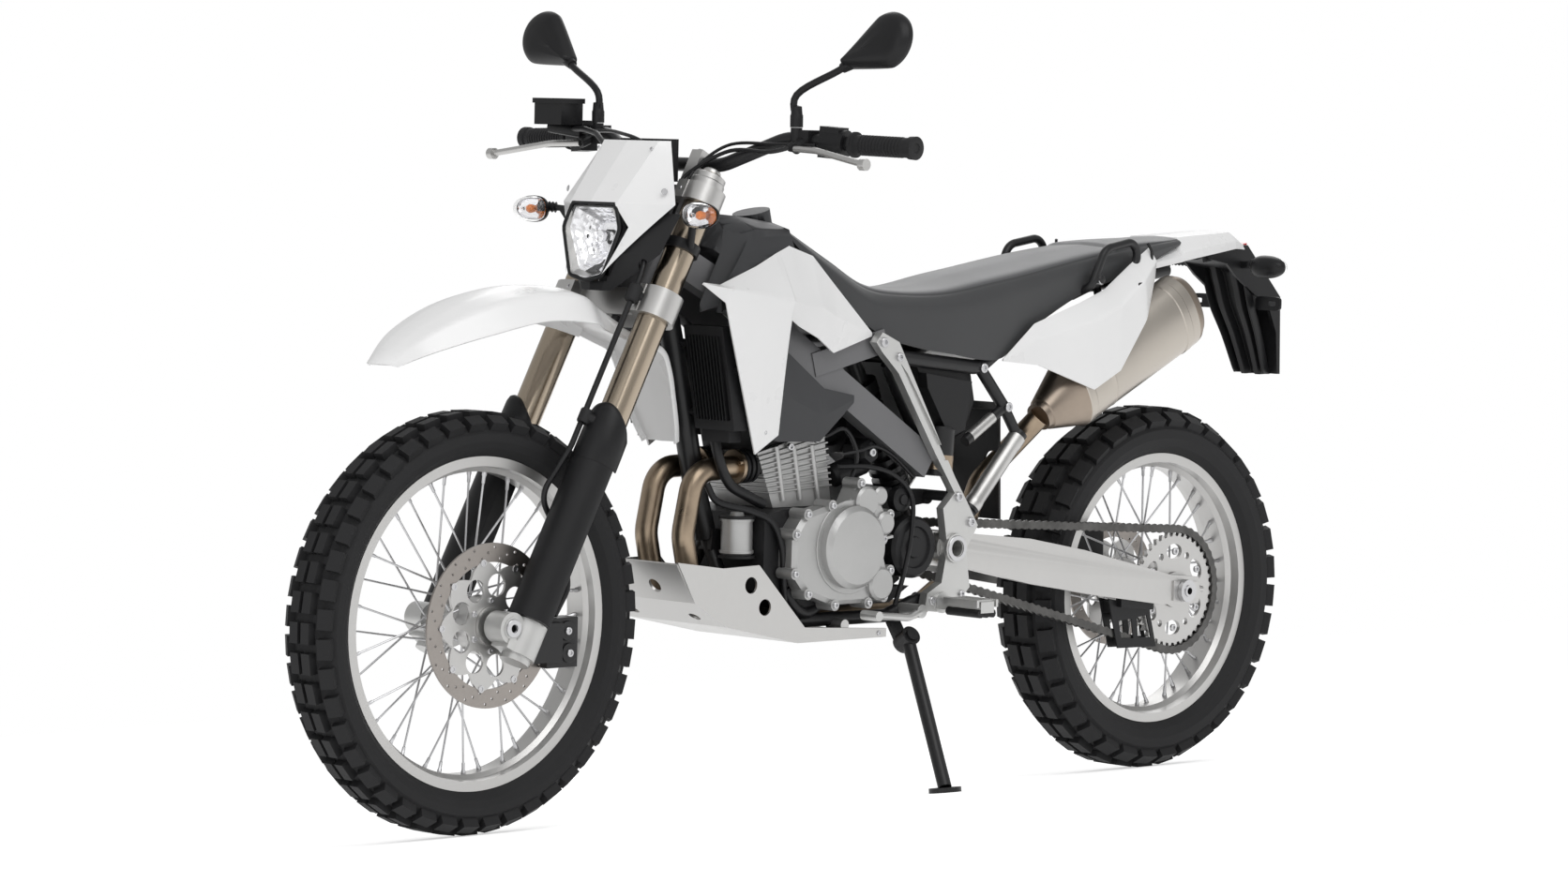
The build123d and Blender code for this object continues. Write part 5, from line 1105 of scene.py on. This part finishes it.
# %% Bolts of the frame and the engine
PLATE_FACE = 122.0                            # outer face of the side plates
COVER_BOLT_Y = 131
COVER_POINTS = [(190, 441), (165, 472), (111, 484), (76, 468), (48, 517), (7, 501), (-19, 465), (-5, 427),
                (-22, 376), (-9, 335), (26, 326), (101, 326), (161, 346), (191, 379)]     # x, height
root_bolts = sides([
    ((-4, PLATE_FACE, 740), LEFT, 8, 5), ((-40, PLATE_FACE, 716), LEFT, 7, 5),
    ((-184, PLATE_FACE, 488), LEFT, 8, 5), ((-214, PLATE_FACE, 446), LEFT, 8, 5),
    ((-128, PLATE_FACE, 322), LEFT, 7, 5), ((-196, PLATE_FACE, 330), LEFT, 6, 4),
    ((-256, 103, 694), LEFT, 8, 4), ((-319, 101, 629), LEFT, 8, 4),
    ((257, 124.5, 603), LEFT, 3.4, 1.6), ((-520, 114, 834), (0, 1, 0.3), 6, 4),
    ((190, 116, 384), LEFT, 4, 2), ((-14, 116, 275), LEFT, 4, 2),
    ((92, 71, 585), LEFT, 6, 4), ((150, 71, 575), LEFT, 6, 4)])
root_bolts += [((x, COVER_BOLT_Y, z), LEFT, 5.4, 4) for x, z in COVER_POINTS]
put("root_bolts", *joined(*[bolt(*row) for row in root_bolts]), "root", "steel")
pivot_rings = sides([((-178, PLATE_FACE + 5, 404.8), LEFT, 21, 3, 14)])
put("pivot_rings", *joined(*[washer(*row) for row in pivot_rings]), "root", "steel")
print("bolts on the frame", len(root_bolts))

# %% Bolts of the fork and the rear sprocket
LOWER_CLAMP, UPPER_CLAMP = 561, 750           # heights along the fork
FORK_OUT, FORK_AHEAD = 97, 20                 # the fork tube's middle: across, and ahead of the steering axis
SPROCKET_FACE = 80.5
clamp_bolts = sides([(fork(51, 79, up), LEFT, 4.6, 4) for up in (549, 573, UPPER_CLAMP)])
clamp_bolts += sides([(fork(4 + step, 45, UPPER_CLAMP + 84), UPFORK, 4.6, 3) for step in (-10, 10)])
clamp_bolts += [((624, 82, 308), LEFT, 6, 3), ((620, 82, 274), LEFT, 6, 3), ((748, 88, 304), LEFT, 6, 4)]
clamp_bolts += sides([((469, 109.5, 976), (0.5, 0.85, 0.2), 5, 1), ((452, 60, 1041), (0.9, 0.2, 0.35), 3, 1)])
put("steering_bolts", *joined(*[bolt(*row) for row in clamp_bolts]), "steering", "steel")
around = np.radians(np.arange(6) * 60 + 30)
sprocket_bolts = [(REAR_AXLE + [65 * np.cos(a), SPROCKET_FACE, 65 * np.sin(a)], LEFT, 6, 4) for a in around]
put("sprocket_bolts", *joined(*[bolt(*row) for row in sprocket_bolts]), "rear_wheel", "steel")
print("bolts that move", len(clamp_bolts) + len(sprocket_bolts))

# %% Fork caps, stem nut and hose clips
caps = [turned(fork(FORK_AHEAD, side * FORK_OUT, 762), fork(FORK_AHEAD, side * FORK_OUT, 800),
               [(0, POLE), (0, 27), (14, 27), (16, 25.5), (24, 25.5), (26, 23), (27, 15), (34, 14), (36, 12),
                (36, 6), (32, 5), (32, POLE)], 48, LEFT) for side in (1, -1)]
nut = turned(fork(0, 0, 764), fork(0, 0, 776),
             [(0, POLE), (0, 17), (9, 17), (12, 14), (12, 7), (7, 6), (7, POLE)], 12, LEFT)
put("fork_caps", *joined(*caps, nut), "steering", "satin_alloy", sharp=30)
clip_at = fork(65.3, 85.7, LOWER_CLAMP)
clip = turned(clip_at - UPFORK * 14, clip_at + UPFORK * 14,
              [(0, 5), (0, 9), (2, 11), (26, 11), (28, 9), (28, 5), (0, 5)], 28, LEFT)
arm = spindle(fork(48, 90, LOWER_CLAMP), fork(63, 86, LOWER_CLAMP), (0, 8), (16, 7), around=16)
low_clip = turned(fork(65, 88, 340), fork(65, 88, 362),
                  [(0, 5), (0, 9), (2, 10), (20, 10), (22, 9), (22, 5), (0, 5)], 28, LEFT)
low_arm = spindle(fork(46, 99, 351), fork(66, 90, 351), (0, 8), (20, 8), around=16)
put("hose_clips", *joined(clip, arm, low_clip, low_arm), "steering", "grip_rubber")
print("caps and clips made")

# %% Hoods of the fork guards
HOOD_FOOT, HOOD_TOP, HOOD_SLANT = 288, 384, 34
HOOD_RISE = np.array([0, 0.5, 0.9, 0.97, 1, 1])[:, None]          # shares of the height
HOOD_RADIUS = np.array([37.6, 37.4, 36.8, 35, 31, 26])[:, None]
INNERMOST = -31                               # the hood stays clear of the tyre
around = np.radians(np.linspace(-115, 120, 48))[None]
top = HOOD_TOP - HOOD_SLANT * (1 - np.cos(around - 0.35))
ahead, aside = HOOD_RADIUS * np.cos(around), np.maximum(HOOD_RADIUS * np.sin(around), INNERMOST)
grid = (fork(FORK_AHEAD, FORK_OUT, HOOD_FOOT) + (HOOD_RISE * (top - HOOD_FOOT))[..., None] * UPFORK
        + ahead[..., None] * AHEAD + aside[..., None] * np.array(LEFT))
hoods = put("guard_hoods", *both_sides(*sheet(grid, AHEAD)), "steering", "black_plastic", sharp=50)
thicken(hoods, 2.5, 0.6)
rings = [washer(FRONT_AXLE + [0, side * 112.5, 0], (0, side, 0), 14, 3, 6.5) for side in (1, -1)]
put("axle_rings", *joined(*rings), "steering", "steel")
print("guard hoods", grid.shape)

# %% [markdown]
# ## Wheels: hubs, spokes and drilled discs
#
# A spoked wheel is a pattern of arrays. Each flange holds 18 spokes, 20 degrees apart. Odd ones lean one
# way round by 60 degrees, even ones the other way, so the rim meets a spoke every 10 degrees. A brake disc
# is a flat ring with rows of drilled holes, on a carrier with arms and round windows between them.

# %% Hubs
FRONT_BARREL = [(10.3, -48), (26, -48), (28, -36), (40, -34), (41, -31), (40, -28), (27, -23), (24, -18),
                (24, 18), (30, 23), (44, 28), (45, 31), (44, 34), (46, 48), (46, 56), (30, 56), (30, 66),
                (10.3, 66), (10.3, -48)]      # radius, across
REAR_BARREL = [(10.3, -72), (30, -72), (30, -60), (42, -60), (44, -48), (46, -40), (47, -37), (46, -34),
               (31, -29), (28, -24), (28, 24), (31, 29), (46, 34), (47, 37), (46, 40), (44, 50), (44, 73),
               (30, 73), (30, 85), (10.3, 85), (10.3, -72)]


def hub(name, centre, outline, body, node):
    """A hub turned about the axle from (radius, across) points."""
    barrel = turned(centre, centre + [0, 1, 0], [(y, radius) for radius, y in outline], 72, FRONT)
    put(name, *barrel, body, "satin_alloy", sharp=30, replaces=[node])
    print(name, barrel[0].shape)


# %% Spokes and nipples
RIM_DEPTH = 24
SPOKES = 18                                   # on each flange
LEAN_ROUND = np.pi / 3                        # from a spoke's foot round to its tip


def spokes(name, centre, rim_r, flanges, hole_r, body, node):
    """Root angle = 20 degrees times n, tip angle = root plus or minus 60 degrees; a nipple at every tip."""
    parts = []
    n = np.arange(SPOKES)
    well = rim_r - RIM_DEPTH - 1
    for side, flange in enumerate(flanges):
        root = np.radians(20.0 * n + 10.0 * side)
        tip = root + np.where(n % 2, 1, -1) * LEAN_ROUND
        starts = centre + np.stack([hole_r * np.cos(root), 0 * n + flange, hole_r * np.sin(root)], 1)
        ends = centre + np.stack([well * np.cos(tip), 0 * n + np.sign(flange) * 5, well * np.sin(tip)], 1)
        length = np.linalg.norm(ends - starts, axis=1)
        parts += [turned(start, end, [(-4, POLE), (-4, 3.4), (-1, 3.4), (0, 1.7), (far - 17, 1.7),
                                      (far - 16, 2.6), (far - 6, 2.8), (far - 3, 3.8), (far + 1.5, 3.8),
                                      (far + 1.5, POLE)], 8, (0.2, 0.9, 0.1))
                  for start, end, far in zip(starts, ends, length)]
    put(name, *joined(*parts), body, "satin_alloy", sharp=30, material=finishes["steel"], replaces=[node])
    print(name, len(parts))


hub("front_hub_barrel", FRONT_AXLE, FRONT_BARREL, "front_wheel", "front_hub")
spokes("front_spokes", FRONT_AXLE, 253.5, (-31, 31), 36, "front_wheel", "front_hub")
hub("rear_hub_barrel", REAR_AXLE, REAR_BARREL, "rear_wheel", "rear_hub")
spokes("rear_spokes", REAR_AXLE, 229.8, (-37, 37), 39, "rear_wheel", "rear_hub")


# %% Flat plates with holes
def flat_plate(name, loops, thick):
    """A flat curve with holes, filled and given its thickness, as points and faces about the origin."""
    curve = bpy.data.curves.new(name, "CURVE")
    curve.dimensions, curve.fill_mode, curve.extrude = "2D", "BOTH", thick / 2
    for loop in loops:
        spline = curve.splines.new("POLY")
        spline.points.add(len(loop) - 1)
        flat = np.hstack([loop, np.zeros((len(loop), 1)), np.ones((len(loop), 1))])
        spline.points.foreach_set("co", flat.ravel())
        spline.use_cyclic_u = True
    holder = bpy.data.objects.new(name, curve)
    mesh = bpy.data.meshes.new_from_object(holder)
    spots = np.empty(3 * len(mesh.vertices))
    mesh.vertices.foreach_get("co", spots)
    faces = [tuple(face.vertices) for face in mesh.polygons]
    bpy.data.meshes.remove(mesh)
    bpy.data.objects.remove(holder)
    bpy.data.curves.remove(curve)
    return spots.reshape(-1, 3), faces


def round_about(radius, angles):
    """Points at these angles on a circle about the origin."""
    return np.stack([radius * np.cos(angles), radius * np.sin(angles)], 1)


def circle(radius, count, middle=(0.0, 0.0)):
    """A closed circle of evenly spaced points."""
    return round_about(radius, np.linspace(0, 2 * np.pi, count, endpoint=False)) + middle


def at_axle(flat, centre, across):
    """Stand a flat plate in the wheel's plane."""
    return centre + np.stack([flat[:, 0], across - flat[:, 2], flat[:, 1]], 1)


def put_faces(name, points, faces, body, slot, **kept):
    """As put(), for faces of any number of corners."""
    mesh = put(name, points, np.empty((0, 4), int), body, slot, **kept).data
    mesh.clear_geometry()
    mesh.from_pydata(park(points).tolist(), [], faces)
    mesh.shade_flat()


print("a circle of twelve points spans", np.ptp(circle(2.4, 12), axis=0).round(2))

# %% Drilled discs and their carriers
HOLE_R, HOLE_ROWS = 2.4, np.array([0.22, 0.5, 0.78])              # drilled holes, at shares of the ring
DISC_THICK, CARRIER_THICK = 3.6, 4.6
HUB_R, BOLT_RING = 30.3, 38                   # the carrier's centre hole, and its bolt circle
WINDOW_FROM, WINDOW_EDGE = 44, 17             # windows start at this radius, and end this far inside the ring
ARM_IN, ARM_LONG = 15, 18                     # the carrier's edge: this far inside the ring, and its waves


def brake(name, centre, across, outer, ring, holes, arms, body):
    """A drilled ring, and a carrier whose rim waves in between its arms, with a round window by each."""
    angle = 2 * np.pi * np.arange(holes) / holes
    radius = ring + (outer - ring) * HOLE_ROWS[np.arange(holes) % 3]
    drilled = [circle(HOLE_R, 12, (r * np.cos(a), r * np.sin(a))) for r, a in zip(radius, angle)]
    points, faces = flat_plate(name, [circle(outer, 120), circle(ring, 96)] + drilled, DISC_THICK)
    put_faces(name, at_axle(points, centre, across), faces, body, "disc_steel", replaces=[name])
    turn = np.linspace(0, 2 * np.pi, 240, endpoint=False)
    wave = (0.5 + 0.5 * np.cos(arms * turn)) ** 0.6
    edge = (ring - ARM_IN + ARM_LONG * wave)[:, None] * round_about(1, turn)
    middle = (ring - WINDOW_EDGE + WINDOW_FROM) / 2
    wide = min(0.5 * (ring - WINDOW_EDGE - WINDOW_FROM), middle * np.pi / arms - 4)
    arm_at = 2 * np.pi * np.arange(arms) / arms
    windows = [circle(wide, 32, at) for at in round_about(middle, arm_at + np.pi / arms)]
    points, faces = flat_plate(name + "_carrier", [edge, circle(HUB_R, 64)] + windows, CARRIER_THICK)
    out = np.sign(across)
    put_faces(name + "_carrier", at_axle(points, centre, across + 0.6 * out), faces, body, "disc_steel",
              material=finishes["satin_alloy"])
    buttons = [turned(centre + [x, across + 1.5 * out, z], centre + [x, across + 5 * out, z],
                      [(0, POLE), (0, 6), (2.4, 5.6), (2.4, 3.2), (1.6, 3), (1.6, POLE)], 16, FRONT)
               for x, z in round_about(ring + 0.5, arm_at)]
    bolts = [bolt(centre + [x, across + 2.6 * out, z], (0, out, 0), 5, 3)
             for x, z in round_about(BOLT_RING, np.pi / 3 * (np.arange(6) + 0.5))]
    put(name + "_bolts", *joined(*buttons, *bolts), body, "disc_steel", material=finishes["steel"])


brake("front_disc", FRONT_AXLE, 58, 125, 96, 54, 9, "front_wheel")
brake("rear_disc", REAR_AXLE, -62, 105, 80, 36, 6, "rear_wheel")

# %% [markdown]
# ## Grips, mirrors and cables
#
# A grip is a turned rubber sleeve: shallow ribs run round it, with a flange inside and a cap outside.
# The mirror's back is a drop drawn in towards its middle, with a glass on the other side. A cable is a
# tube along a smooth curve that keeps to the bars and ends behind the mask.

# %% Ribbed grips
GRIP_IN, GRIP_END = np.array([272.0, 316.0, 1054.0]), np.array([263.0, 439.0, 1051.0])
GRIP_RIBS, GRIP_R, RIB_HIGH = 19, 15.3, 0.7
grip_long = np.linalg.norm(GRIP_END - GRIP_IN)
t = np.linspace(0.08, 0.93, 150)
wave = np.sign(np.sin(t * 2 * np.pi * GRIP_RIBS)) * (np.abs(t - 0.5) < 0.34)
ribs = np.stack([t * grip_long, GRIP_R + RIB_HIGH * wave], 1)
inner_flange = [(2.6, POLE), (2.6, 19), (3.6, 20), (7.5, 20), (8.5, 16)]
end_cap = [(0.94 * grip_long, 17.5), (1.027 * grip_long, 18), (1.035 * grip_long, 16.5),
           (1.035 * grip_long, 8), (1.02 * grip_long, 7), (1.02 * grip_long, POLE)]
profile = np.vstack([inner_flange, ribs, end_cap])
for side, name in ((1, "left"), (-1, "right")):
    flip = np.array([1, side, 1])
    put("grip_" + name, *turned(GRIP_IN * flip, GRIP_END * flip, profile, 40), "steering", "grip_rubber",
        replaces=["grips"])
print("grips", round(grip_long, 1), "mm long")

# %% The mirror's drop and its own directions
MIRROR_MID = np.array([277.0, 372.0, 1205.0]) + [-8, 0, -2.2]
MIRROR_SLICES = np.array([(0, 43, 8), (2, 44.3, 9), (10, 44.3, 9), (20, 37, 6), (25, 25, 3), (27, 8, 1)],
                         float)               # depth, large radius, small radius
GLASS_X = np.array([1, 0, 0.25]) / np.sqrt(1.0625)
GLASS_Y = np.array([0, 1, 0.5]) / np.sqrt(1.25)
GLASS_Y = GLASS_Y - GLASS_X * (GLASS_Y @ GLASS_X)
GLASS_Y /= np.linalg.norm(GLASS_Y)
GLASS_Z = np.cross(GLASS_X, GLASS_Y)


def mirror_drop(big, small, count=96):
    """A drop: a large circle's far side and a small circle's near side, its corners averaged."""
    turn = np.linspace(0, 2 * np.pi, count, endpoint=False)
    near_x = -62 if big > 20 else -20
    far = np.stack([20 + big * np.cos(turn), big * np.sin(turn)], 1)
    near = np.stack([small * np.cos(turn) + near_x, small * np.sin(turn)], 1)
    flat = np.where((np.cos(turn) > -0.3)[:, None], far, near)
    for _ in range(3):
        flat = 0.5 * flat + 0.25 * (np.roll(flat, 1, 0) + np.roll(flat, -1, 0))
    return flat


def on_mirror(depth, flat):
    """A drop's points at a depth behind the glass."""
    return MIRROR_MID + depth * GLASS_X + flat[..., :1] * GLASS_Y + flat[..., 1:] * GLASS_Z


print("mirror's own directions", GLASS_X.round(3), GLASS_Y.round(3))

# %% Mirror backs, stems and glasses
slices = through(MIRROR_SLICES, 6)
outlines = np.array([mirror_drop(max(big, 4), max(small, 0.5)) for _, big, small in slices])
back = ringed(shut(on_mirror(slices[:, :1, None], outlines), 0.02))
bends = through([(303, 225, 1084), (305, 226, 1128), (290, 300, 1166), (281, 342, 1190)], 6)
stem = tube(straight(bends, 12), 5.6)
foot = turned((303, 225, 1078.5), (303.5, 225, 1112),
              [(0, POLE), (0, 10), (18, 10), (20, 9), (32, 8), (34, POLE)], 24, FRONT)
neck = spindle((287, 306, 1170), (280, 346, 1191), (0, 8), (30, 12), (46, 14), around=28)
put("mirror_backs", *both_sides(*joined(back, stem, foot, neck)), "steering", "black_plastic", sharp=50,
    replaces=["mirrors"])
glass = on_mirror(-0.6, mirror_drop(40, 6))
rings = np.stack([glass, glass.mean(0) + 0.01 * (glass - glass.mean(0))])
put("mirror_glasses", *both_sides(*ringed(rings, (-1, 0, 0))), "steering", "satin_alloy", material=MIRROR)

# %% Cables on the handlebar
cables = [
    (3.2, [(306, 236, 1052), (338, 205, 1040), (342, 120, 1040), (371, 62, 1006), (396, 56, 975),
           (404, 40, 930)]),
    (2.6, [(304, 268, 1052), (322, 200, 1052), (330, 110, 1050), (356, 70, 1020), (385, 66, 985),
           (398, 52, 935)]),
    (3.0, [(320, -240, 1062), (352, -160, 1066), (404, -66, 1064), (420, 10, 1048), (405, 44, 1000),
           (400, 40, 940)])]


def bundle(rows, around):
    """A tube along the smooth curve of every row's points: (radius, points)."""
    return joined(*[tube(through(points, 8), radius, around) for radius, points in rows])


put("bar_cables", *bundle(cables, 12), "steering", "hose_rubber")
ferrule = spindle((300, 225, 1056), (322, 228, 1044), (0, 6), (6, 7), (20, 7), (24, 4), around=18)
put("cable_ferrules", *ferrule, "steering", "black_plastic")
print("cables", len(cables))

# %% [markdown]
# ## Engine details
#
# The left cover carries ribs that run out from its round cap, a raised ring, and round lobes over the
# gears and shafts. In front stands the starter motor, the exhaust ports have finned collars, and hoses
# and a loom run along the case. The front sprocket sits under a round black cover.

# %% Ribs, ring and lobes of the cover
CAP_AT = np.array([69.0, 0, 417.0])
COVER_FACE = 127.5


def flat_bar(start, end, wide, high):
    """A low bar with eased sides between two points on the cover's face."""
    start, end = np.array(start, float), np.array(end, float)
    run = (end - start) / np.linalg.norm(end - start)
    side = np.cross(run, LEFT)
    section = np.array([(-wide, 0), (-wide * 0.7, high), (wide * 0.7, high), (wide, 0)]) / [2, 1]
    ring = section[:, :1] * side + section[:, 1:] * np.array(LEFT, float)
    return ringed(np.stack([start + 0.02 * ring, start + ring, end + ring, end + 0.02 * ring]))


ribs = [flat_bar(CAP_AT + [64 * np.cos(a), COVER_FACE, 64 * np.sin(a)],
                 CAP_AT + [96 * np.cos(a), COVER_FACE - 1, 96 * np.sin(a)], 6, 5)
        for a in np.radians([112, 172, 238])]
ring = washer(CAP_AT + [0, COVER_FACE, 0], LEFT, 75, 3.0, 66)
LOBES = [                                     # x, height, inner and outer face, radius, edge, points round
    (37, 488, 120, 138, 25, 4, 32), (6, 496, 120, 136, 15, 3, 24),
    (-8, 452, 112, 136, 19, 4, 28), (2, 356, 112, 138, 27, 4, 32)]
lobes = [spindle((x, inner, z), (x, outer, z), (0, radius), (outer - inner - ease, radius),
                 (outer - inner, radius - ease), around=count)
         for x, z, inner, outer, radius, ease, count in LOBES]
put("cover_ribs", *joined(*ribs, ring, *lobes), "root", "engine_silver", sharp=30)
bars = [tube([(x + 4, 68, 490), (x + 22, 68, 576)], 4.5, 12) for x in (78, 118, 156)]
put("barrel_ribs", *joined(*bars), "root", "engine_silver")
sprocket_cover = spindle((-94, 88, 409), (-94, 118, 409), (0, 50), (22, 50), (28, 45), (28, 34), (24, 32),
                         (24, 18), (27, 16), around=48)
put("sprocket_cover", *sprocket_cover, "root", "black_plastic", sharp=30)
print("lobes", len(lobes), "ribs", len(ribs) + len(bars))

# %% Starter motor
STARTER_X, STARTER_Y = 248, 56


def at_starter(z):
    """A point on the starter's upright axis."""
    return STARTER_X, STARTER_Y, z


starter = spindle(at_starter(404), at_starter(470), (0, 20), (6, 27), (10, 27), (10, 25), (56, 25), (56, 27),
                  (60, 27), (62, 24), (62, 12), (70, 10), around=40, hint=LEFT)
put("starter_motor", *starter, "root", "engine_silver", sharp=30)
straps = [spindle(at_starter(z), at_starter(z + 4), (0, 29), (4, 29), around=40, hint=LEFT)
          for z in (402, 464)]
block = spindle((196, 52, 436), (240, 56, 436), (0, 17), (40, 13), around=16)
put("starter_mount", *joined(*straps, block), "root", "engine_black")
print("starter made")

# %% Exhaust collars and flanges
PORT_Y = 42                                   # the two ports lie this far left and right
collars = [spindle((212, side * PORT_Y, 545), (252, side * PORT_Y, 543.5), (0, 27), (5, 27), (5, 23),
                   (10, 23), (10, 27), (15, 27), (15, 23), (20, 23), (20, 27), (25, 27), (27, 22))
           for side in (1, -1)]
put("port_collars", *joined(*collars), "root", "engine_black")
flanges = [washer((241, side * PORT_Y, 544), FRONT, 28, 5, 17) for side in (1, -1)]
studs = [bolt((245, side * PORT_Y + reach, 544 + rise), FRONT, 4.5, 6) for side in (1, -1)
         for reach, rise in ((20, 8), (-20, -8))]
put("port_flanges", *joined(*flanges, *studs), "root", "header_bronze")
print("collars", len(collars))

# %% Intake behind the barrel
intake = spindle((46, 0, 594), (-98, 0, 590), (0, 30), (22, 30), (25, 25), (56, 25), (58, 36), (96, 36),
                 (98, 27), (120, 31), (140, 31), around=40)
breather = turned((34, 46, 522), (-44, 50, 546),
                  [(0, POLE), (0, 15), (6, 19), (70, 19), (78, 15), (81, POLE)], 28)
box = spindle((-20, 40, 562), (-20, 84, 562), (0, 22), (38, 22), (44, 17), around=6, hint=FRONT)
put("intake_parts", *joined(intake, breather, box), "root", "black_plastic", sharp=30)
intake_bolts = bolt((-20, 84, 562), LEFT, 7, 5), bolt((36, 30, 612), LEFT, 5, 8)
put("intake_bolts", *joined(*intake_bolts), "root", "steel")
print("intake made")

# %% Strut sleeves and damper reservoir
sleeves = [spindle((-246, 91, 466), (-352, 91, 578.5), (0, 14.6), (5, 15.6), (14, 15.6), (18, 14.6),
                   (132, 14.6), (138, 15.6), (154, 15.6), hint=LEFT),
           spindle((-240, 91, 581.6), (-292, 91, 612.8), (0, 9.8), (60, 9.8), around=24, hint=LEFT)]
put("strut_sleeves", *both_sides(*joined(*sleeves)), "root", "satin_alloy", sharp=30)
reservoir = spindle((-172, 92, 600), (-164, 94, 520), (0, 20), (4, 23), (52, 23), (54, 21), (80, 21),
                    hint=LEFT)
put("damper_reservoir", *reservoir, "root", "black_metal", sharp=30)
band = turned((-167.4, 93, 554), (-165, 93.6, 530), [(0, 23.4), (24, 23.4)], 32, LEFT)
put("reservoir_band", *band, "root", "header_bronze", sharp=30)
print("sleeves and reservoir made")

# %% Hoses and loom
hoses = [
    (5.5, [(150, 64, 300), (176, 92, 330), (186, 100, 372), (194, 103, 420), (209, 95, 459), (249, 84, 478),
           (300, 66, 492), (312, 52, 520)]),
    (4.0, [(56, 86, 541), (-2, 98, 540), (-53, 106, 525), (-86, 112, 491), (-78, 122, 435), (-64, 122, 375),
           (-60, 106, 318)]),
    (3.0, [(40, 80, 560), (10, 90, 566), (-20, 92, 572), (-60, 94, 556), (-110, 92, 520)]),
    (3.4, [(70, 72, 590), (40, 84, 600), (16, 88, 560), (24, 84, 520)]),
    (9.0, [(96, 84, 320), (130, 92, 312), (158, 94, 326), (176, 92, 352)]),
    (8.5, [(306, 60, 600), (300, 66, 560), (276, 66, 520), (240, 70, 500), (206, 70, 486)])]
put("engine_hoses", *bundle(hoses, 14), "root", "hose_rubber")
plug = spindle((-71, 92, 486), (-71, 112, 486), (0, 20), (14, 20), (16, 17), (16, 9), (19, 8), around=28)
put("oil_plug", *plug, "root", "black_plastic")
print("hoses", len(hoses))

# %% [markdown]
# ## Number plate holder and small fittings
#
# The holder is one black moulding: a sloping sheet with turned edges that hangs from the tail, with two
# raised folds down its front, and a slotted tab on each side. The same tool as for the fender's flap
# makes it. The last fittings are the wire loops at the tail and the pads under the grab handles and pegs.

# %% Plate holder
HOLDER = np.array([(-858, 882, 44), (-930, 890, 47), (-966, 868, 48), (-984, 830, 47), (-999, 790, 45),
                   (-1026, 740, 40), (-1059, 664, 33)], float)    # x, height, half width
HOLDER_FOOT = 668                             # the sheet is cut level here
TURNED_EDGE, FOLD = 20, 14                    # how far the edges and the folds stand forward
grid = swept_section(HOLDER, 8,
                     [-1, -0.97, -0.92, -0.62, -0.54, -0.36, -0.28, 0, 0.28, 0.36, 0.54, 0.62, 0.92, 0.97, 1],
                     [TURNED_EDGE, 4, 0, 0, FOLD, FOLD, 0, 0, 0, FOLD, FOLD, 0, 0, 4, TURNED_EDGE])
grid[..., 2] = np.maximum(grid[..., 2], HOLDER_FOOT)
holder = put("plate_holder_skin", *sheet(grid, (-1, 0, 0.6)), "root", "black_plastic", sharp=25,
             replaces=["plate_holder"])
thicken(holder, 3.0, 0.8)

# %% Slotted tabs
TAB, SLOT = ((28, 12), 74), ((8, 4), 84)      # half sizes, and the middle's place across
TAB_HEIGHT, TAB_REAR, TAB_FRONT = 792, -1000, -996
turn = np.linspace(0, 2 * np.pi, 40, endpoint=False)
rounded_box = np.stack([np.sign(np.cos(turn)) * np.abs(np.cos(turn)) ** 0.4,
                        np.sign(np.sin(turn)) * np.abs(np.sin(turn)) ** 0.4], 1)
tabs = []
for side in (1, -1):
    loops = [rounded_box * size + [side * shift, TAB_HEIGHT] for size, shift in (TAB, TAB, SLOT, SLOT)]
    rings = np.stack([np.column_stack([np.full(40, x), loop])
                      for x, loop in zip((TAB_FRONT, TAB_REAR, TAB_REAR, TAB_FRONT), loops)])
    tabs.append((rings.reshape(-1, 3), outwards(rings, grid_quads(4, 40, True, True))))
put("plate_holder_tabs", *joined(*tabs), "root", "black_plastic", sharp=30)
print("tabs", len(tabs))

# %% Wire loops, feet and pads
loop = through([(-598, 118, 822), (-606, 123, 820), (-640, 116, 850), (-652, 110, 880), (-648, 104, 897)], 8)
put("wire_loops", *both_sides(*tube(loop, 2.6, 10)), "root", "black_metal")
feet = spindle((-520, 110, 830), (-534, 112, 884), (0, 9), (8, 11), (14, 8), around=18, hint=LEFT)
put("grab_feet", *both_sides(*feet), "root", "black_metal")
pads = [spindle((x, 152, 308), (x, 224, 308), (0, 7), (72, 7), around=10) for x in (-164, -150, -136)]
put("peg_pads", *both_sides(*joined(*pads)), "root", "grip_rubber")
print("pads", len(pads))

# %% [markdown]
# The dressed machine must stay inside the box of its solids.
